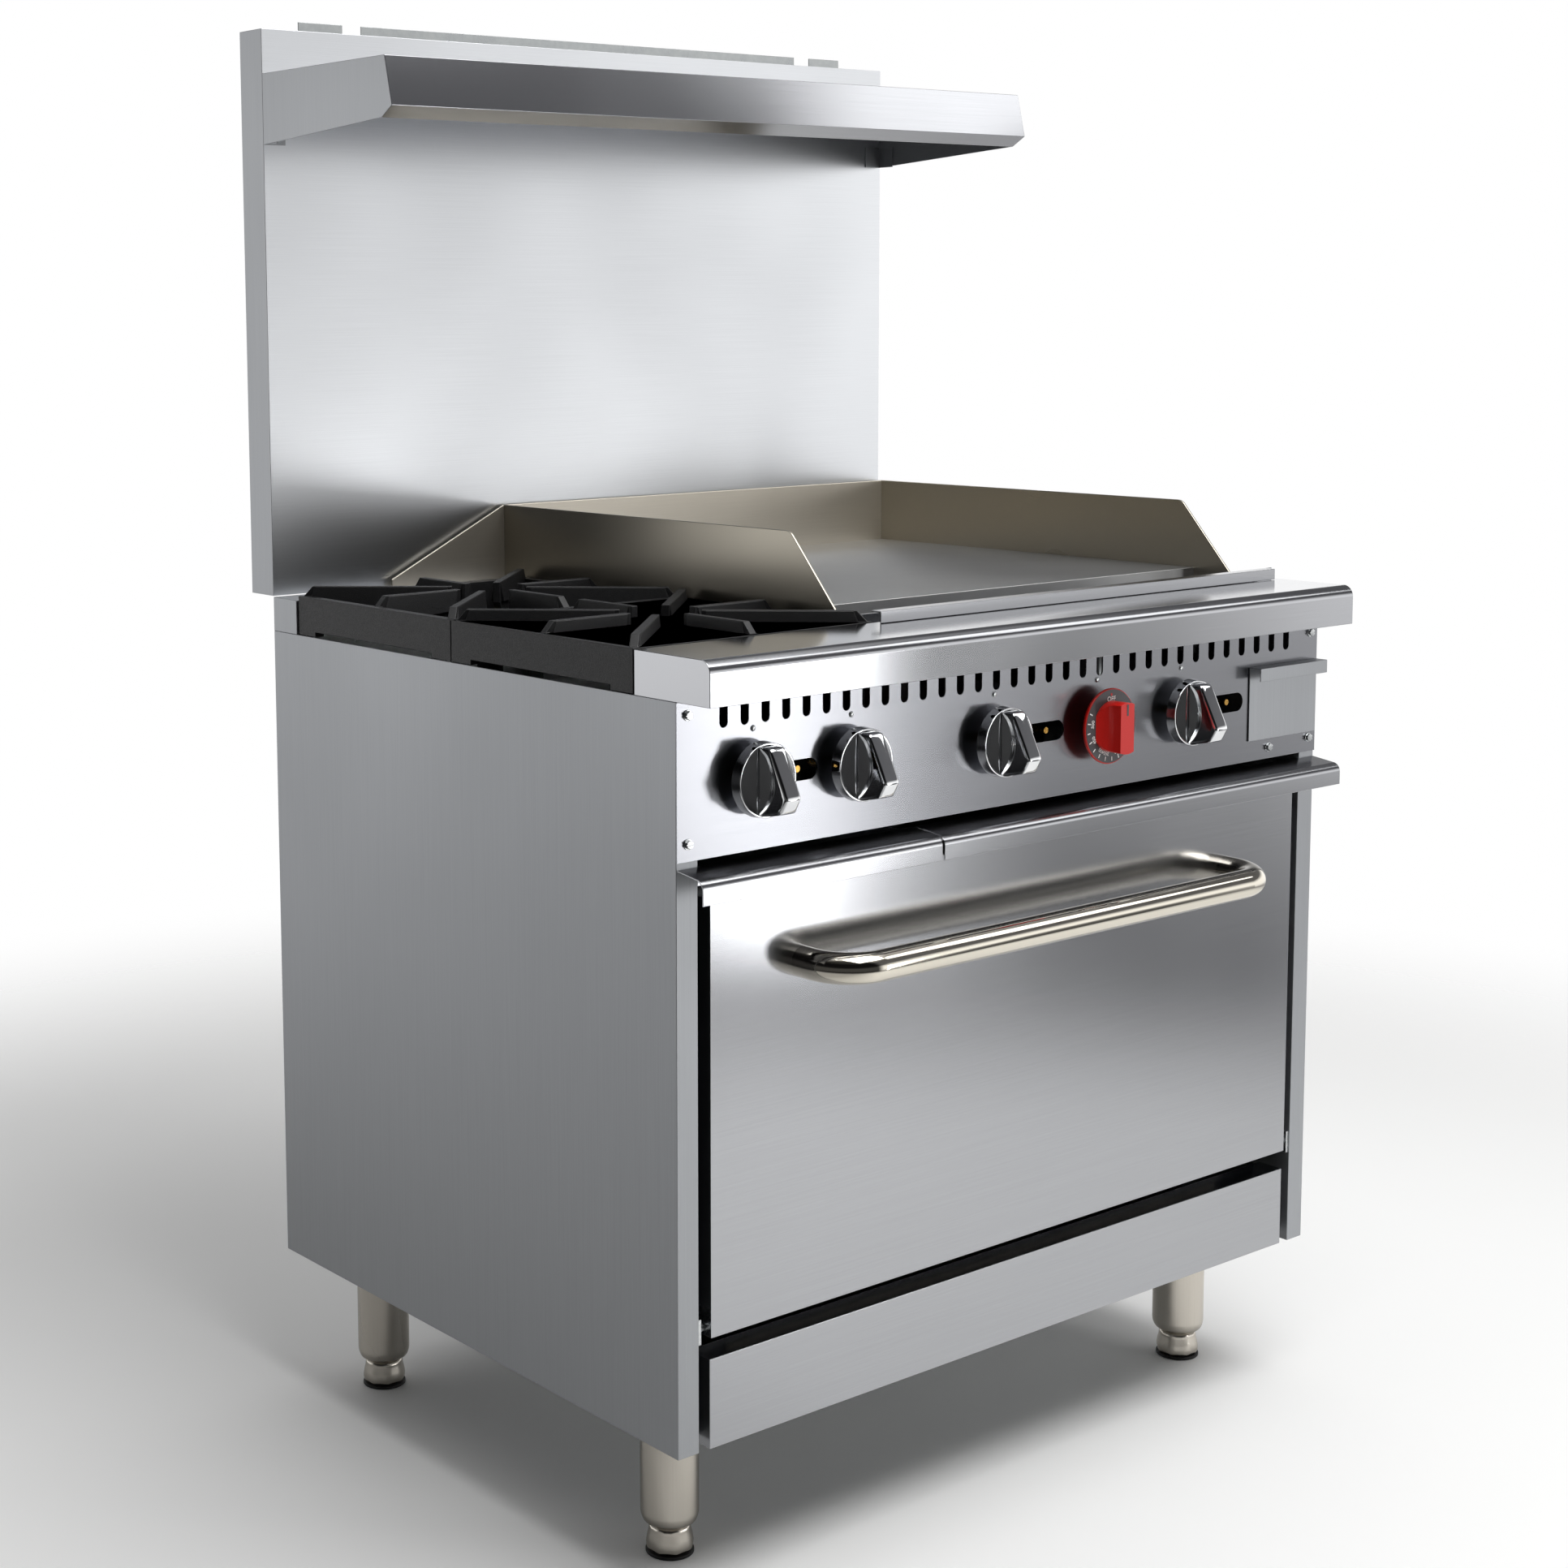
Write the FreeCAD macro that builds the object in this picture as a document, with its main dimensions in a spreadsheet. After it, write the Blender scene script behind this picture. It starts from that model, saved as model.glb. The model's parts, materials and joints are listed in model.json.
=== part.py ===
"""Commercial gas range: two open burners, a griddle, an oven and a high shelf.

Millimetres, +Z up, +X to the right seen from the front, the front faces -Y.
The origin is on the floor, under the middle of the range's overall box.
Heights are counted from the floor and depths from the front plane of the body.
"""
import FreeCAD, Part
import math
import os
import re
import Sketcher

doc = FreeCAD.newDocument("GasRange")
sheet = doc.addObject("Spreadsheet::Sheet", "Sizes")

# ---------------------------------------------------------------- driving dimensions
SIZES = {
    # overall
    "body_width": 914,            # 36 inch range
    "body_depth": 680,            # front plane to back panel
    "body_height": 698,           # side panels, bottom to top
    "leg_height": 152,            # floor to the bottom of the side panels
    "skin": 1.5,                  # stainless sheet of the body
    "flange_width": 25,           # folded front edge of a side panel
    "flange_return": 30,          # depth of the fold behind that edge
    "seat_gap": 0.5,              # between pieces that only lie side by side
    "slide_gap": 2,               # beside anything that slides
    # kick panel
    "kick_height": 86,
    "side_gap": 13,               # kick panel or door to the flange
    # oven door
    "door_bottom": 107,           # above the bottom of the side panels
    "door_drop": 38,              # below the control panel
    "door_proud": 2,              # outer skin ahead of the front plane
    "door_thick": 45,
    "door_skin": 1.2,
    "hinge_up": 7,                # pin above the lower edge of the door
    "hinge_back": 12,             # pin behind the outer skin
    "pin_radius": 4,
    "pin_fit": 0.08,              # radial running clearance
    "pin_length": 22,
    "pin_recess": 3,              # bore beyond the end of the pin
    "hinge_plate": 4,
    "hinge_block": 34,
    "gasket_thick": 3.5,
    "gasket_width": 12,
    # door handle
    "handle_radius": 15,
    "handle_wall": 1.5,
    "handle_inset": 113,          # end of the door to a mounting point
    "handle_reach": 56,           # door skin to the middle of the tube
    "handle_drop": 75,            # below the upper edge of the door
    "handle_bend": 42,
    "screw_shank": 4,
    "screw_grip": 11,             # screw inside the end of the handle
    "screw_head": 4,
    # oven
    "oven_side": 85,              # oven wall inside the end of the door
    "oven_sill": 21,              # oven floor above the lower edge of the door
    "oven_ceiling": 48,           # oven top below the upper edge of the door
    "oven_rear": 69.5,            # oven back ahead of the back panel
    "liner_wall": 1.5,
    "insulation": 38,
    "hearth_thick": 3,
    "hearth_up": 45,
    "rack_wire": 3,
    "rack_count": 15,             # cross wires
    "frame_thick": 3,
    # control panel
    "panel_height": 144,
    "panel_thick": 1.5,
    "slot_margin": 54.6,          # side of the range to the first vent slot
    "slot_pitch": 25.15,
    "slot_width": 10,
    "slot_drop": 28,              # lower end of a vent slot, below the top
    "slot_start": 1,              # upper end
    "knob_drop": 77,              # knob axis below the top of the side panels
    "pilot_slot_length": 60,
    "pilot_after_one": 79.5,      # first knob to the right-hand end of its pilot slot
    "pilot_after_three": 101.5,
    "pilot_before_drawer": 9.5,
    "knob_one_inset": 89.5,       # from the left side
    "knob_two_inset": 211.5,
    "knob_three_inset": 98.5,     # from the left side of the griddle
    "knob_four_inset": 229.5,     # from the right side
    "dial_share": 0.53381,        # oven thermostat, as a share of the way from knob three to four
    "pilot_slot_height": 20,
    "rivet_rise": 45,             # pointer rivet above its knob axis
    "rivet_radius": 3,
    "screw_radius": 5,
    "screw_inset": 12.5,
    # knobs
    "knob_radius": 35,
    "knob_stand": 10,             # panel to the back of the knob
    "knob_skirt": 11,
    "grip_width": 19,
    "grip_low": 12,               # grip ahead of the skirt at its upper end
    "grip_high": 35,              # and at its lower end
    "dial_radius": 38.5,
    "dial_thick": 9,
    "dial_grip": 22,
    "stem_radius": 4,
    "stem_fit": 0.05,
    "stem_length": 40,
    "stem_seat": 14,              # stem inside the knob
    # drip trays and grease drawer
    "tray_split_inset": 5,        # joint between the tray fronts, left of the griddle
    "tray_gap": 3,
    "tray_drop": 25,              # below the control panel
    "tray_wall_height": 14,
    "tray_rear": 120,             # tray back ahead of the back panel
    "tray_sheet": 1.2,
    "tray_reach": 36,             # front of the lip ahead of the front plane
    "tray_bend": 9,
    "lip_rise": 12,               # lip above and below the tray floor
    "lip_fall": 8,
    "drawer_width": 117,          # from the right side
    "drawer_drop": 42,            # upper edge of its face below the top
    "drawer_face_height": 80,
    "drawer_depth": 330,
    "drawer_sheet": 1.2,
    "drawer_lip": 14,
    # cooking top
    "ledge_reach": 46.5,          # landing ledge ahead of the front plane
    "ledge_back": 57.5,
    "ledge_height": 41.5,
    "ledge_radius": 12,
    "rear_rail_depth": 47,
    "rear_rail_height": 37,
    "griddle_width": 609,
    "griddle_plate": 25,
    "griddle_rise": 46,           # cooking surface above the side panels
    "griddle_front": 165,
    "guard_sheet": 3,
    "guard_inset": 6,             # back guard ahead of the back panel
    "guard_height": 76,           # above the cooking surface
    "guard_front": 114,
    "guard_slope": 71,
    "wing_length": 156,
    "trough_drop": 8,             # trough floor above the side panels
    "trough_sheet": 1.5,
    "chute_half": 15,
    "rail_left": 9,               # trough rail past the left guard
    "rail_right": 13,             # trough rail short of the right side
    "rail_rise": 12,              # trough rail above the landing ledge
    "grate_height": 42,
    "grate_wall": 11,
    "grate_gap": 3,
    "finger_rise": 11,            # finger tops above the grate frame
    "finger_width": 8,
    "finger_reach": 40,           # finger tip to the burner centre
    "grate_notch": 5,
    "burner_radius": 48,
    "burner_drop": 22,            # burner top below the grate frame top
    # riser and high shelf
    "riser_depth": 45,
    "riser_start": 38,            # above the top of the side panels
    "riser_height": 606,
    "riser_sheet": 1.2,
    "tab_rise": 15,
    "shelf_drop": 47,             # below the top of the riser
    "shelf_depth": 235,
    "shelf_front": 50,
    "shelf_lean": 12,             # foot of the shelf front ahead of its top
    "shelf_nose": 11,
    "shelf_tuck": 19,
    "shelf_end_high": 75,
    "bracket_size": 25,
    # legs
    "leg_radius": 28.5,
    "leg_inset": 78.5,            # side of the range to a leg
    "leg_front": 107,
    "leg_rear_inset": 73,
    "foot_neck": 31,              # floor to the end of the leg tube
    "foot_radius": 25,
    "thread_radius": 9,
    "thread_fit": 0.08,
    "pad_thick": 3,
    "leg_plate": 4,
    # gas
    "manifold_radius": 13.5,
    "inlet_radius": 13.35,        # 3/4 inch pipe
    "manifold_back": 62,
    "valve_radius": 11,
    "valve_start": 14,            # front plane to the front of a valve
    "inlet_inset": 157,           # from the right side
    "inlet_reach": 38,
    "pilot_radius": 3.2,
    "burner_tube": 14,
    "burner_height": 22,
}

DERIVED = {
    "half": "body_width / 2",
    "front": "(handle_reach + door_proud + handle_radius - body_depth - riser_depth) / 2",
    "back": "front + body_depth",
    "bottom": "leg_height",
    "top": "leg_height + body_height",
    "inside": "half - flange_width",
    "door_half": "half - flange_width - side_gap",
    "door_low": "bottom + door_bottom",
    "door_high": "top - panel_height - door_drop",
    "door_face": "front - door_proud",
    "door_back": "door_face + door_thick",
    "hinge_y": "door_face + hinge_back",
    "hinge_z": "door_low + hinge_up",
    "handle_half": "door_half - handle_inset",
    "handle_z": "door_high - handle_drop",
    "frame_y": "door_back + gasket_thick + 2 * seat_gap",
    "oven_width": "2 * (door_half - oven_side)",
    "oven_low": "door_low + oven_sill",
    "oven_high": "door_high - oven_ceiling",
    "oven_height": "oven_high - oven_low",
    "oven_back": "back - oven_rear",
    "oven_depth": "oven_back - frame_y - frame_thick",
    "panel_face": "front - panel_thick",
    "panel_low": "top - panel_height",
    "slot_count": "round((body_width - 2 * slot_margin) / slot_pitch) + 1",
    "knob_z": "top - knob_drop",
    "knob_back": "panel_face - knob_stand",
    "knob_front": "knob_back - knob_skirt",
    "griddle_left": "half - griddle_width",
    "griddle_z": "top + griddle_rise",
    "knob_one": "knob_one_inset - half",
    "knob_two": "knob_two_inset - half",
    "knob_three": "griddle_left + knob_three_inset",
    "knob_four": "half - knob_four_inset",
    "dial_place": "knob_three + dial_share * (knob_four - knob_three)",
    "drawer_left": "half - drawer_width",
    "drawer_high": "top - drawer_drop",
    "drawer_low": "drawer_high - drawer_face_height",
    "pilot_one": "knob_one + pilot_after_one",
    "pilot_two": "knob_three + pilot_after_three",
    "pilot_three": "drawer_left - pilot_before_drawer",
    "tray_split": "griddle_left - tray_split_inset",
    "tray_z": "top - panel_height - tray_drop",
    "tray_depth": "body_depth - tray_rear",
    "lip_high": "tray_z + lip_rise",
    "lip_low": "tray_z - lip_fall",
    "grate_left": "1 - half",
    "grate_right": "griddle_left - grate_gap - 1",
    "grate_front": "front + ledge_back + grate_gap",
    "grate_back": "back - rear_rail_depth - grate_gap",
    "grate_middle": "(grate_front + grate_back) / 2",
    "burner_x": "(grate_left + grate_right) / 2",
    "riser_low": "top + riser_start",
    "riser_high": "riser_low + riser_height",
    "shelf_y": "back - shelf_depth",
    "shelf_z": "riser_high - shelf_drop",
    "leg_side": "half - leg_inset",
    "leg_rear": "body_depth - leg_rear_inset",
    "inlet_side": "half - inlet_inset",
}


def fill_sheet():
    """Write every driving dimension as a plain number and every worked-out one as a formula."""
    row = 1
    for name, number in SIZES.items():
        sheet.set(f"A{row}", name)
        sheet.set(f"B{row}", str(number))
        sheet.setAlias(f"B{row}", name)
        row += 1
    for name, formula in DERIVED.items():
        sheet.set(f"A{row}", name)
        sheet.set(f"B{row}", "=" + formula)
        sheet.setAlias(f"B{row}", name)
        row += 1
    doc.recompute()


fill_sheet()
WORDS = set(SIZES) | set(DERIVED)
NODES = {}


def formula(text):
    """Point every size word of an expression at the sheet."""
    return re.sub(r"[a-z_]+", lambda word: "Sizes." + word.group() if word.group() in WORDS
                  else word.group(), str(text))


def size(name):
    """The number that the sheet gives for one size."""
    return float(sheet.get(name))


def bind(thing, prop, text):
    thing.setExpression(prop, formula(text))


def place(thing, x="0", y="0", z="0"):
    for axis, text in zip("xyz", (x, y, z)):
        bind(thing, ".Placement.Base." + axis, text)


def block(name, x, y, z):
    """A box between two limits on each axis."""
    box = doc.addObject("Part::Box", name)
    for prop, (low, high) in zip(("Length", "Width", "Height"), (x, y, z)):
        bind(box, prop, f"({high}) - ({low})")
    place(box, x[0], y[0], z[0])
    return box


TURNS = {
    "x": FreeCAD.Rotation(FreeCAD.Vector(0, 1, 0), 90),
    "y": FreeCAD.Rotation(FreeCAD.Vector(1, 0, 0), -90),
    "z": FreeCAD.Rotation(),
}


def rod(name, axis, radius, centre, span):
    """A cylinder along one axis: its centre on the other two axes and its two ends."""
    bar = doc.addObject("Part::Cylinder", name)
    bar.Placement = FreeCAD.Placement(FreeCAD.Vector(), TURNS[axis])
    bind(bar, "Radius", radius)
    bind(bar, "Height", f"({span[1]}) - ({span[0]})")
    spots = list(centre)
    spots.insert("xyz".index(axis), span[0])
    place(bar, *spots)
    return bar


def cone(name, low_radius, high_radius, centre, span):
    """A cone along +Z."""
    piece = doc.addObject("Part::Cone", name)
    bind(piece, "Radius1", low_radius)
    bind(piece, "Radius2", high_radius)
    bind(piece, "Height", f"({span[1]}) - ({span[0]})")
    place(piece, centre[0], centre[1], span[0])
    return piece


def join(name, pieces):
    fused = doc.addObject("Part::MultiFuse", name)
    fused.Shapes = pieces
    return fused


def cut(name, base, tools):
    """Take one tool, or several, away from a base."""
    result = doc.addObject("Part::Cut", name)
    result.Base = base
    result.Tool = tools[0] if len(tools) == 1 else join(name + "_tools", tools)
    return result


def together(name, pieces):
    """Identical loose pieces that share one node."""
    bundle = doc.addObject("Part::Compound", name)
    bundle.Links = pieces
    return bundle


PLANES = {"yz": "YZ_Plane", "xz": "XZ_Plane", "xy": "XY_Plane"}
ACROSS = {"yz": "x", "xz": "y", "xy": "z"}


def prism(name, plane, outline, span, rounds=None):
    """A sketched outline padded from span[0] to span[1]; rounds maps a corner to its radius."""
    body = doc.addObject("PartDesign::Body", name)
    sketch = body.newObject("Sketcher::SketchObject", name + "_outline")
    role = PLANES[plane]
    datum = [item for item in body.Origin.OriginFeatures if item.Role == role][0]
    sketch.AttachmentSupport = [(datum, "")]
    sketch.MapMode = "FlatFace"
    points = [FreeCAD.Vector(number(u), number(v), 0) for u, v in outline]
    count = len(points)
    for i in range(count):
        sketch.addGeometry(Part.LineSegment(points[i], points[(i + 1) % count]), False)
    for i in range(count):
        sketch.addConstraint(Sketcher.Constraint("Coincident", i, 2, (i + 1) % count, 1))
    for i, (u, v) in enumerate(outline):
        for kind, text in (("DistanceX", u), ("DistanceY", v)):
            index = sketch.addConstraint(Sketcher.Constraint(kind, -1, 1, i, 1, number(text)))
            bind(sketch, f"Constraints[{index}]", text)
    pad = body.newObject("PartDesign::Pad", name + "_pad")
    pad.Profile = sketch
    pad.Reversed = plane == "xz"
    bind(pad, "Length", f"({span[1]}) - ({span[0]})")
    doc.recompute()
    if rounds:
        for corner, radius in rounds.items():
            add_round(body, name, outline[corner], plane, corner, radius)
    bind(body, ".Placement.Base." + ACROSS[plane], span[0])
    return body


def number(text):
    """The value of an expression at today's sizes."""
    values = {word: size(word) for word in WORDS if word in str(text)}
    probe = re.sub(r"[a-z_]+", lambda word: repr(values[word.group()]), str(text))
    return float(FreeCAD.Units.Quantity(probe).Value)


def add_round(body, name, corner, plane, index, radius):
    """Round the padded edge that stands on one corner of the outline."""
    across = "xyz".index(ACROSS[plane])
    u, v = number(corner[0]), number(corner[1])
    shape = body.Tip.Shape
    for i, edge in enumerate(shape.Edges):
        ends = [list(vertex.Point) for vertex in edge.Vertexes]
        for end in ends:
            end.pop(across)
        if len(ends) == 2 and all(math.hypot(a - u, b - v) < 0.001 for a, b in ends):
            last = body.Tip
            fillet = body.newObject("PartDesign::Fillet", f"{name}_round_{index}")
            fillet.Base = (last, [f"Edge{i + 1}"])
            bind(fillet, "Radius", radius)
            doc.recompute()
            return


def node(label, thing):
    """Name a finished piece and keep it for export."""
    thing.Label = label
    NODES[label] = thing
    return thing


# ---------------------------------------------------------------- body shell
def side_panel(label, side):
    """Outer skin, folded front flange and return, and an inward fold along the bottom."""
    outer = ("-half", "-half + skin") if side < 0 else ("half - skin", "half")
    flange = ("-half", "-inside") if side < 0 else ("inside", "half")
    fold = ("-inside - skin", "-inside") if side < 0 else ("inside", "inside + skin")
    pieces = [
        block(label + "_skin", outer, ("front", "back"), ("bottom", "top")),
        block(label + "_flange", flange, ("front", "front + skin"), ("bottom", "top - skin")),
        block(label + "_fold", fold, ("front", "frame_y"), ("bottom", "panel_low")),
        block(label + "_foot", flange, ("front", "back"), ("bottom", "bottom + skin")),
        block(label + "_rear", flange, ("back - skin", "back"), ("bottom", "top")),
    ]
    return node(label, join(label, pieces))


side_panel("left_side_panel", -1)
side_panel("right_side_panel", 1)

vent_x = ("-oven_width / 6", "oven_width / 6")
vent_z = ("top - 2 * riser_depth", "top - riser_depth / 2")
node("back_panel", cut("back_panel", block("back_sheet", ("-inside + seat_gap", "inside - seat_gap"),
                                           ("back - skin", "back"), ("bottom", "top - seat_gap")),
                       [block("back_vent", vent_x, ("back - 2 * skin", "back + skin"), vent_z),
                        rod("back_pipe_hole", "y", "manifold_radius + slide_gap",
                            ("inlet_side", "knob_z"), ("back - 2 * skin", "back + skin"))]))

base_y = ("front + flange_return", "back - skin")
node("base_pan", join("base_pan", [
    block("base_sheet", ("-inside + skin", "inside - skin"), base_y, ("bottom", "bottom + skin")),
    block("base_rib_left", ("-leg_side - 2 * skin", "-leg_side - skin"), base_y,
          ("bottom", "bottom + hearth_up")),
    block("base_rib_right", ("leg_side + skin", "leg_side + 2 * skin"), base_y,
          ("bottom", "bottom + hearth_up")),
]))

kick_x = ("-door_half", "door_half")
node("kick_panel", cut("kick_panel", block("kick_blank", kick_x, ("front", "front + flange_return"),
                                           ("bottom", "bottom + kick_height")),
                       [block("kick_hollow", ("-door_half + skin", "door_half - skin"),
                              ("front + skin", "front + flange_return + skin"),
                              ("bottom - skin", "bottom + kick_height - skin"))]))

# ---------------------------------------------------------------- oven
frame_span = ("frame_y", "frame_y + frame_thick")
oven_x = ("-oven_width / 2", "oven_width / 2")
oven_z = ("oven_low", "oven_high")
node("oven_face_frame", cut("oven_face_frame", join("face_frame_blank", [
    block("face_plate", ("-inside - skin", "inside + skin"), frame_span,
          ("bottom + kick_height + slide_gap", "tray_z - 2 * slide_gap")),
    block("face_top_fold", ("-inside + skin + seat_gap", "inside - skin - seat_gap"),
          ("frame_y", "frame_y + flange_return"),
          ("tray_z - 2 * slide_gap - skin", "tray_z - 2 * slide_gap")),
]), [block("face_opening", ("-oven_width / 2 - liner_wall", "oven_width / 2 + liner_wall"),
           ("frame_y - skin", "frame_y + frame_thick + skin"),
           ("oven_low - liner_wall", "oven_high + liner_wall"))]))

flue_hole = block("flue_hole", ("-oven_width / 6", "oven_width / 6"),
                  ("oven_back - skin", "oven_back + insulation + 2 * liner_wall"),
                  ("oven_high - hearth_up", "oven_high - liner_wall"))
burner_hole = block("burner_hole", ("-oven_width / 4", "oven_width / 4"),
                    ("frame_y + oven_depth / 3", "oven_back - oven_depth / 3"),
                    ("oven_low - insulation - 2 * liner_wall", "oven_low + liner_wall"))
node("oven_liner", cut("oven_liner", block("liner_blank",
                                           ("-oven_width / 2 - liner_wall", "oven_width / 2 + liner_wall"),
                                           ("frame_y", "oven_back + liner_wall"),
                                           ("oven_low - liner_wall", "oven_high + liner_wall")),
                       [block("liner_hollow", oven_x, ("frame_y - skin", "oven_back"), oven_z),
                        flue_hole, burner_hole]))

wool_y = ("frame_y + frame_thick + flange_return", "oven_back + liner_wall + insulation")
node("oven_insulation", cut("oven_insulation", block(
    "wool_blank",
    ("-oven_width / 2 - liner_wall - insulation", "oven_width / 2 + liner_wall + insulation"), wool_y,
    ("oven_low - liner_wall - insulation / 2", "oven_high + liner_wall + insulation / 2")),
    [block("wool_hollow", ("-oven_width / 2 - liner_wall", "oven_width / 2 + liner_wall"),
           ("frame_y - skin", "oven_back + liner_wall"),
           ("oven_low - liner_wall", "oven_high + liner_wall")),
     block("wool_flue", ("-oven_width / 6", "oven_width / 6"),
           ("oven_back", "oven_back + insulation + 2 * liner_wall"),
           ("oven_high - hearth_up", "oven_high - liner_wall")),
     block("wool_burner", ("-oven_width / 4", "oven_width / 4"),
           ("frame_y + oven_depth / 3", "oven_back - oven_depth / 3"),
           ("oven_low - insulation - 2 * liner_wall", "oven_low + liner_wall"))]))

hearth_z = ("oven_low + hearth_up", "oven_low + hearth_up + hearth_thick")
hearth_x = ("-oven_width / 2 + slide_gap", "oven_width / 2 - slide_gap")
hearth_slots = [block(f"hearth_slot_{i}", (f"{u} * oven_width / 2 - 2 * hearth_thick",
                                           f"{u} * oven_width / 2 + 2 * hearth_thick"),
                      ("frame_y + oven_depth / 4", "oven_back - oven_depth / 4"),
                      ("oven_low + hearth_up - skin", "oven_low + hearth_up + hearth_thick + skin"))
                for i, u in enumerate((-0.84, -0.76, 0.76, 0.84))]
node("oven_hearth", join("oven_hearth", [
    cut("hearth_plate", block("hearth_blank", hearth_x, ("frame_y + slide_gap", "oven_back - slide_gap"),
                              hearth_z), hearth_slots),
    block("hearth_leg_front", hearth_x, ("frame_y + slide_gap", "frame_y + slide_gap + hearth_thick"),
          ("oven_low", "oven_low + hearth_up + hearth_thick / 2")),
    block("hearth_leg_back", hearth_x, ("oven_back - slide_gap - hearth_thick", "oven_back - slide_gap"),
          ("oven_low", "oven_low + hearth_up + hearth_thick / 2")),
]))

burner_bar_z = "oven_low + hearth_up / 2"
node("oven_burner", join("oven_burner", [
    rod(f"oven_burner_bar_{i}", "y", "manifold_radius - skin", (spot, burner_bar_z),
        ("frame_y + oven_depth / 5", "oven_back - oven_depth / 5"))
    for i, spot in enumerate(("-oven_width / 8", "oven_width / 8"))
] + [rod("oven_burner_cross", "x", "manifold_radius - skin",
         ("frame_y + oven_depth / 5 + 2 * manifold_radius", burner_bar_z),
         ("-oven_width / 8", "oven_width / 8")),
     rod("oven_burner_stub", "z", "manifold_radius - skin",
         ("0", "frame_y + oven_depth / 5 + 2 * manifold_radius"), ("oven_low", burner_bar_z))]))

guide_z = [f"oven_low + hearth_up + {share} * (oven_height - hearth_up)" for share in (0.3, 0.62)]


def rack_guide(side):
    """Two bent rods on one wall of the oven, held by two uprights."""
    sign = "-" if side < 0 else ""
    spot = f"{sign}(oven_width / 2 - 2 * rack_wire)"
    rails = [rod(f"guide_{side}_{i}", "y", "rack_wire", (spot, z),
                 ("frame_y + 4 * hearth_thick", "oven_back - 4 * hearth_thick"))
             for i, z in enumerate(guide_z)]
    posts = [rod(f"guide_post_{side}_{i}", "z", "rack_wire",
                 (f"{sign}(oven_width / 2 - rack_wire)", y),
                 ("oven_low + hearth_up + hearth_thick", "oven_high - slide_gap"))
             for i, y in enumerate(("frame_y + oven_depth / 6", "oven_back - oven_depth / 6"))]
    return join(f"guide_{side}", rails + posts)


node("rack_guides", together("rack_guides", [rack_guide(-1), rack_guide(1)]))

rack_half = "(oven_width / 2 - 2 * rack_wire - slide_gap / 4)"
wire_half = "(oven_width / 2 - 4 * rack_wire - slide_gap / 4)"
rack_low = f"{guide_z[0]} + 2 * rack_wire + slide_gap / 10"
rack_front, rack_back = "frame_y + 5 * hearth_thick", "oven_back - 6 * hearth_thick"
rack_bars = [rod(f"rack_side_{i}", "x", "rack_wire", (y, rack_low), ("-" + rack_half, rack_half))
             for i, y in enumerate((rack_front, f"({rack_front} + {rack_back}) / 2", rack_back))]
for i in range(int(size("rack_count"))):
    share = f"({i} / (rack_count - 1) * 2 - 1)"
    rack_bars.append(rod(f"rack_wire_{i}", "y", "rack_wire * 0.75",
                         (f"{share} * {wire_half}", rack_low + " + rack_wire"), (rack_front, rack_back)))
node("oven_rack", join("oven_rack", rack_bars))

gasket_span = ("frame_y - gasket_thick", "frame_y")
gasket_in = [("-oven_width / 2 - gasket_width", "oven_width / 2 + gasket_width"),
             ("oven_low - gasket_width", "oven_high + gasket_width")]
gasket_out = [("-oven_width / 2 - 2 * gasket_width", "oven_width / 2 + 2 * gasket_width"),
              ("oven_low - 2 * gasket_width", "oven_high + 2 * gasket_width")]
node("door_gasket", cut("door_gasket", block("gasket_blank", gasket_out[0], gasket_span, gasket_out[1]),
                        [block("gasket_hollow", gasket_in[0],
                               ("frame_y - 2 * gasket_thick", "frame_y + skin"), gasket_in[1])]))

duct_x = ("-oven_width / 6 - skin", "oven_width / 6 + skin")
duct_y = ("oven_back + liner_wall + insulation + seat_gap", "back - skin")
node("flue_duct", cut("flue_duct", block("duct_blank", duct_x, duct_y,
                                         ("oven_high - hearth_up - skin", "top - seat_gap")),
                      [block("duct_hollow", vent_x,
                             ("oven_back + liner_wall + insulation + seat_gap + skin",
                              "back - 2 * skin"),
                             ("oven_high - hearth_up", "top - 2 * skin")),
                       block("duct_vent", vent_x, ("back - 4 * skin", "back + skin"), vent_z),
                       block("duct_mouth", vent_x,
                             ("oven_back", "oven_back + liner_wall + insulation + seat_gap + 2 * skin"),
                             ("oven_high - hearth_up", "oven_high - liner_wall"))]))

# ---------------------------------------------------------------- oven door
door_x = ("-door_half", "door_half")
door_z = ("door_low", "door_high")
pin_bore = "pin_radius + pin_fit"
skin_x = ("-door_half + door_skin", "door_half - door_skin")
skin_z = ("door_low + door_skin", "door_high - door_skin")
liner_y = "door_back - door_skin"
node("door_outer_panel", cut("door_outer_panel",
                             block("door_blank", door_x, ("door_face", liner_y), door_z),
                             [block("door_hollow", skin_x, ("door_face + door_skin", "door_back"), skin_z),
                              rod("door_pin_hole", "x", "pin_radius + slide_gap", ("hinge_y", "hinge_z"),
                                  ("-half", "half"))]))
node("door_inner_panel", join("door_inner_panel", [
    block("door_liner", door_x, (liner_y, "door_back"), door_z),
    cut("door_plug", block("door_plug_blank", ("-oven_width / 2 + slide_gap", "oven_width / 2 - slide_gap"),
                           ("door_back - door_skin", "door_back + gasket_thick / 2"),
                           ("oven_low + slide_gap", "oven_high - slide_gap")),
        [block("door_plug_hollow", ("-oven_width / 2 + slide_gap + door_skin",
                                    "oven_width / 2 - slide_gap - door_skin"),
               ("door_back - door_skin - door_skin", "door_back + gasket_thick / 2 - door_skin"),
               ("oven_low + slide_gap + door_skin", "oven_high - slide_gap - door_skin"))])]))

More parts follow.
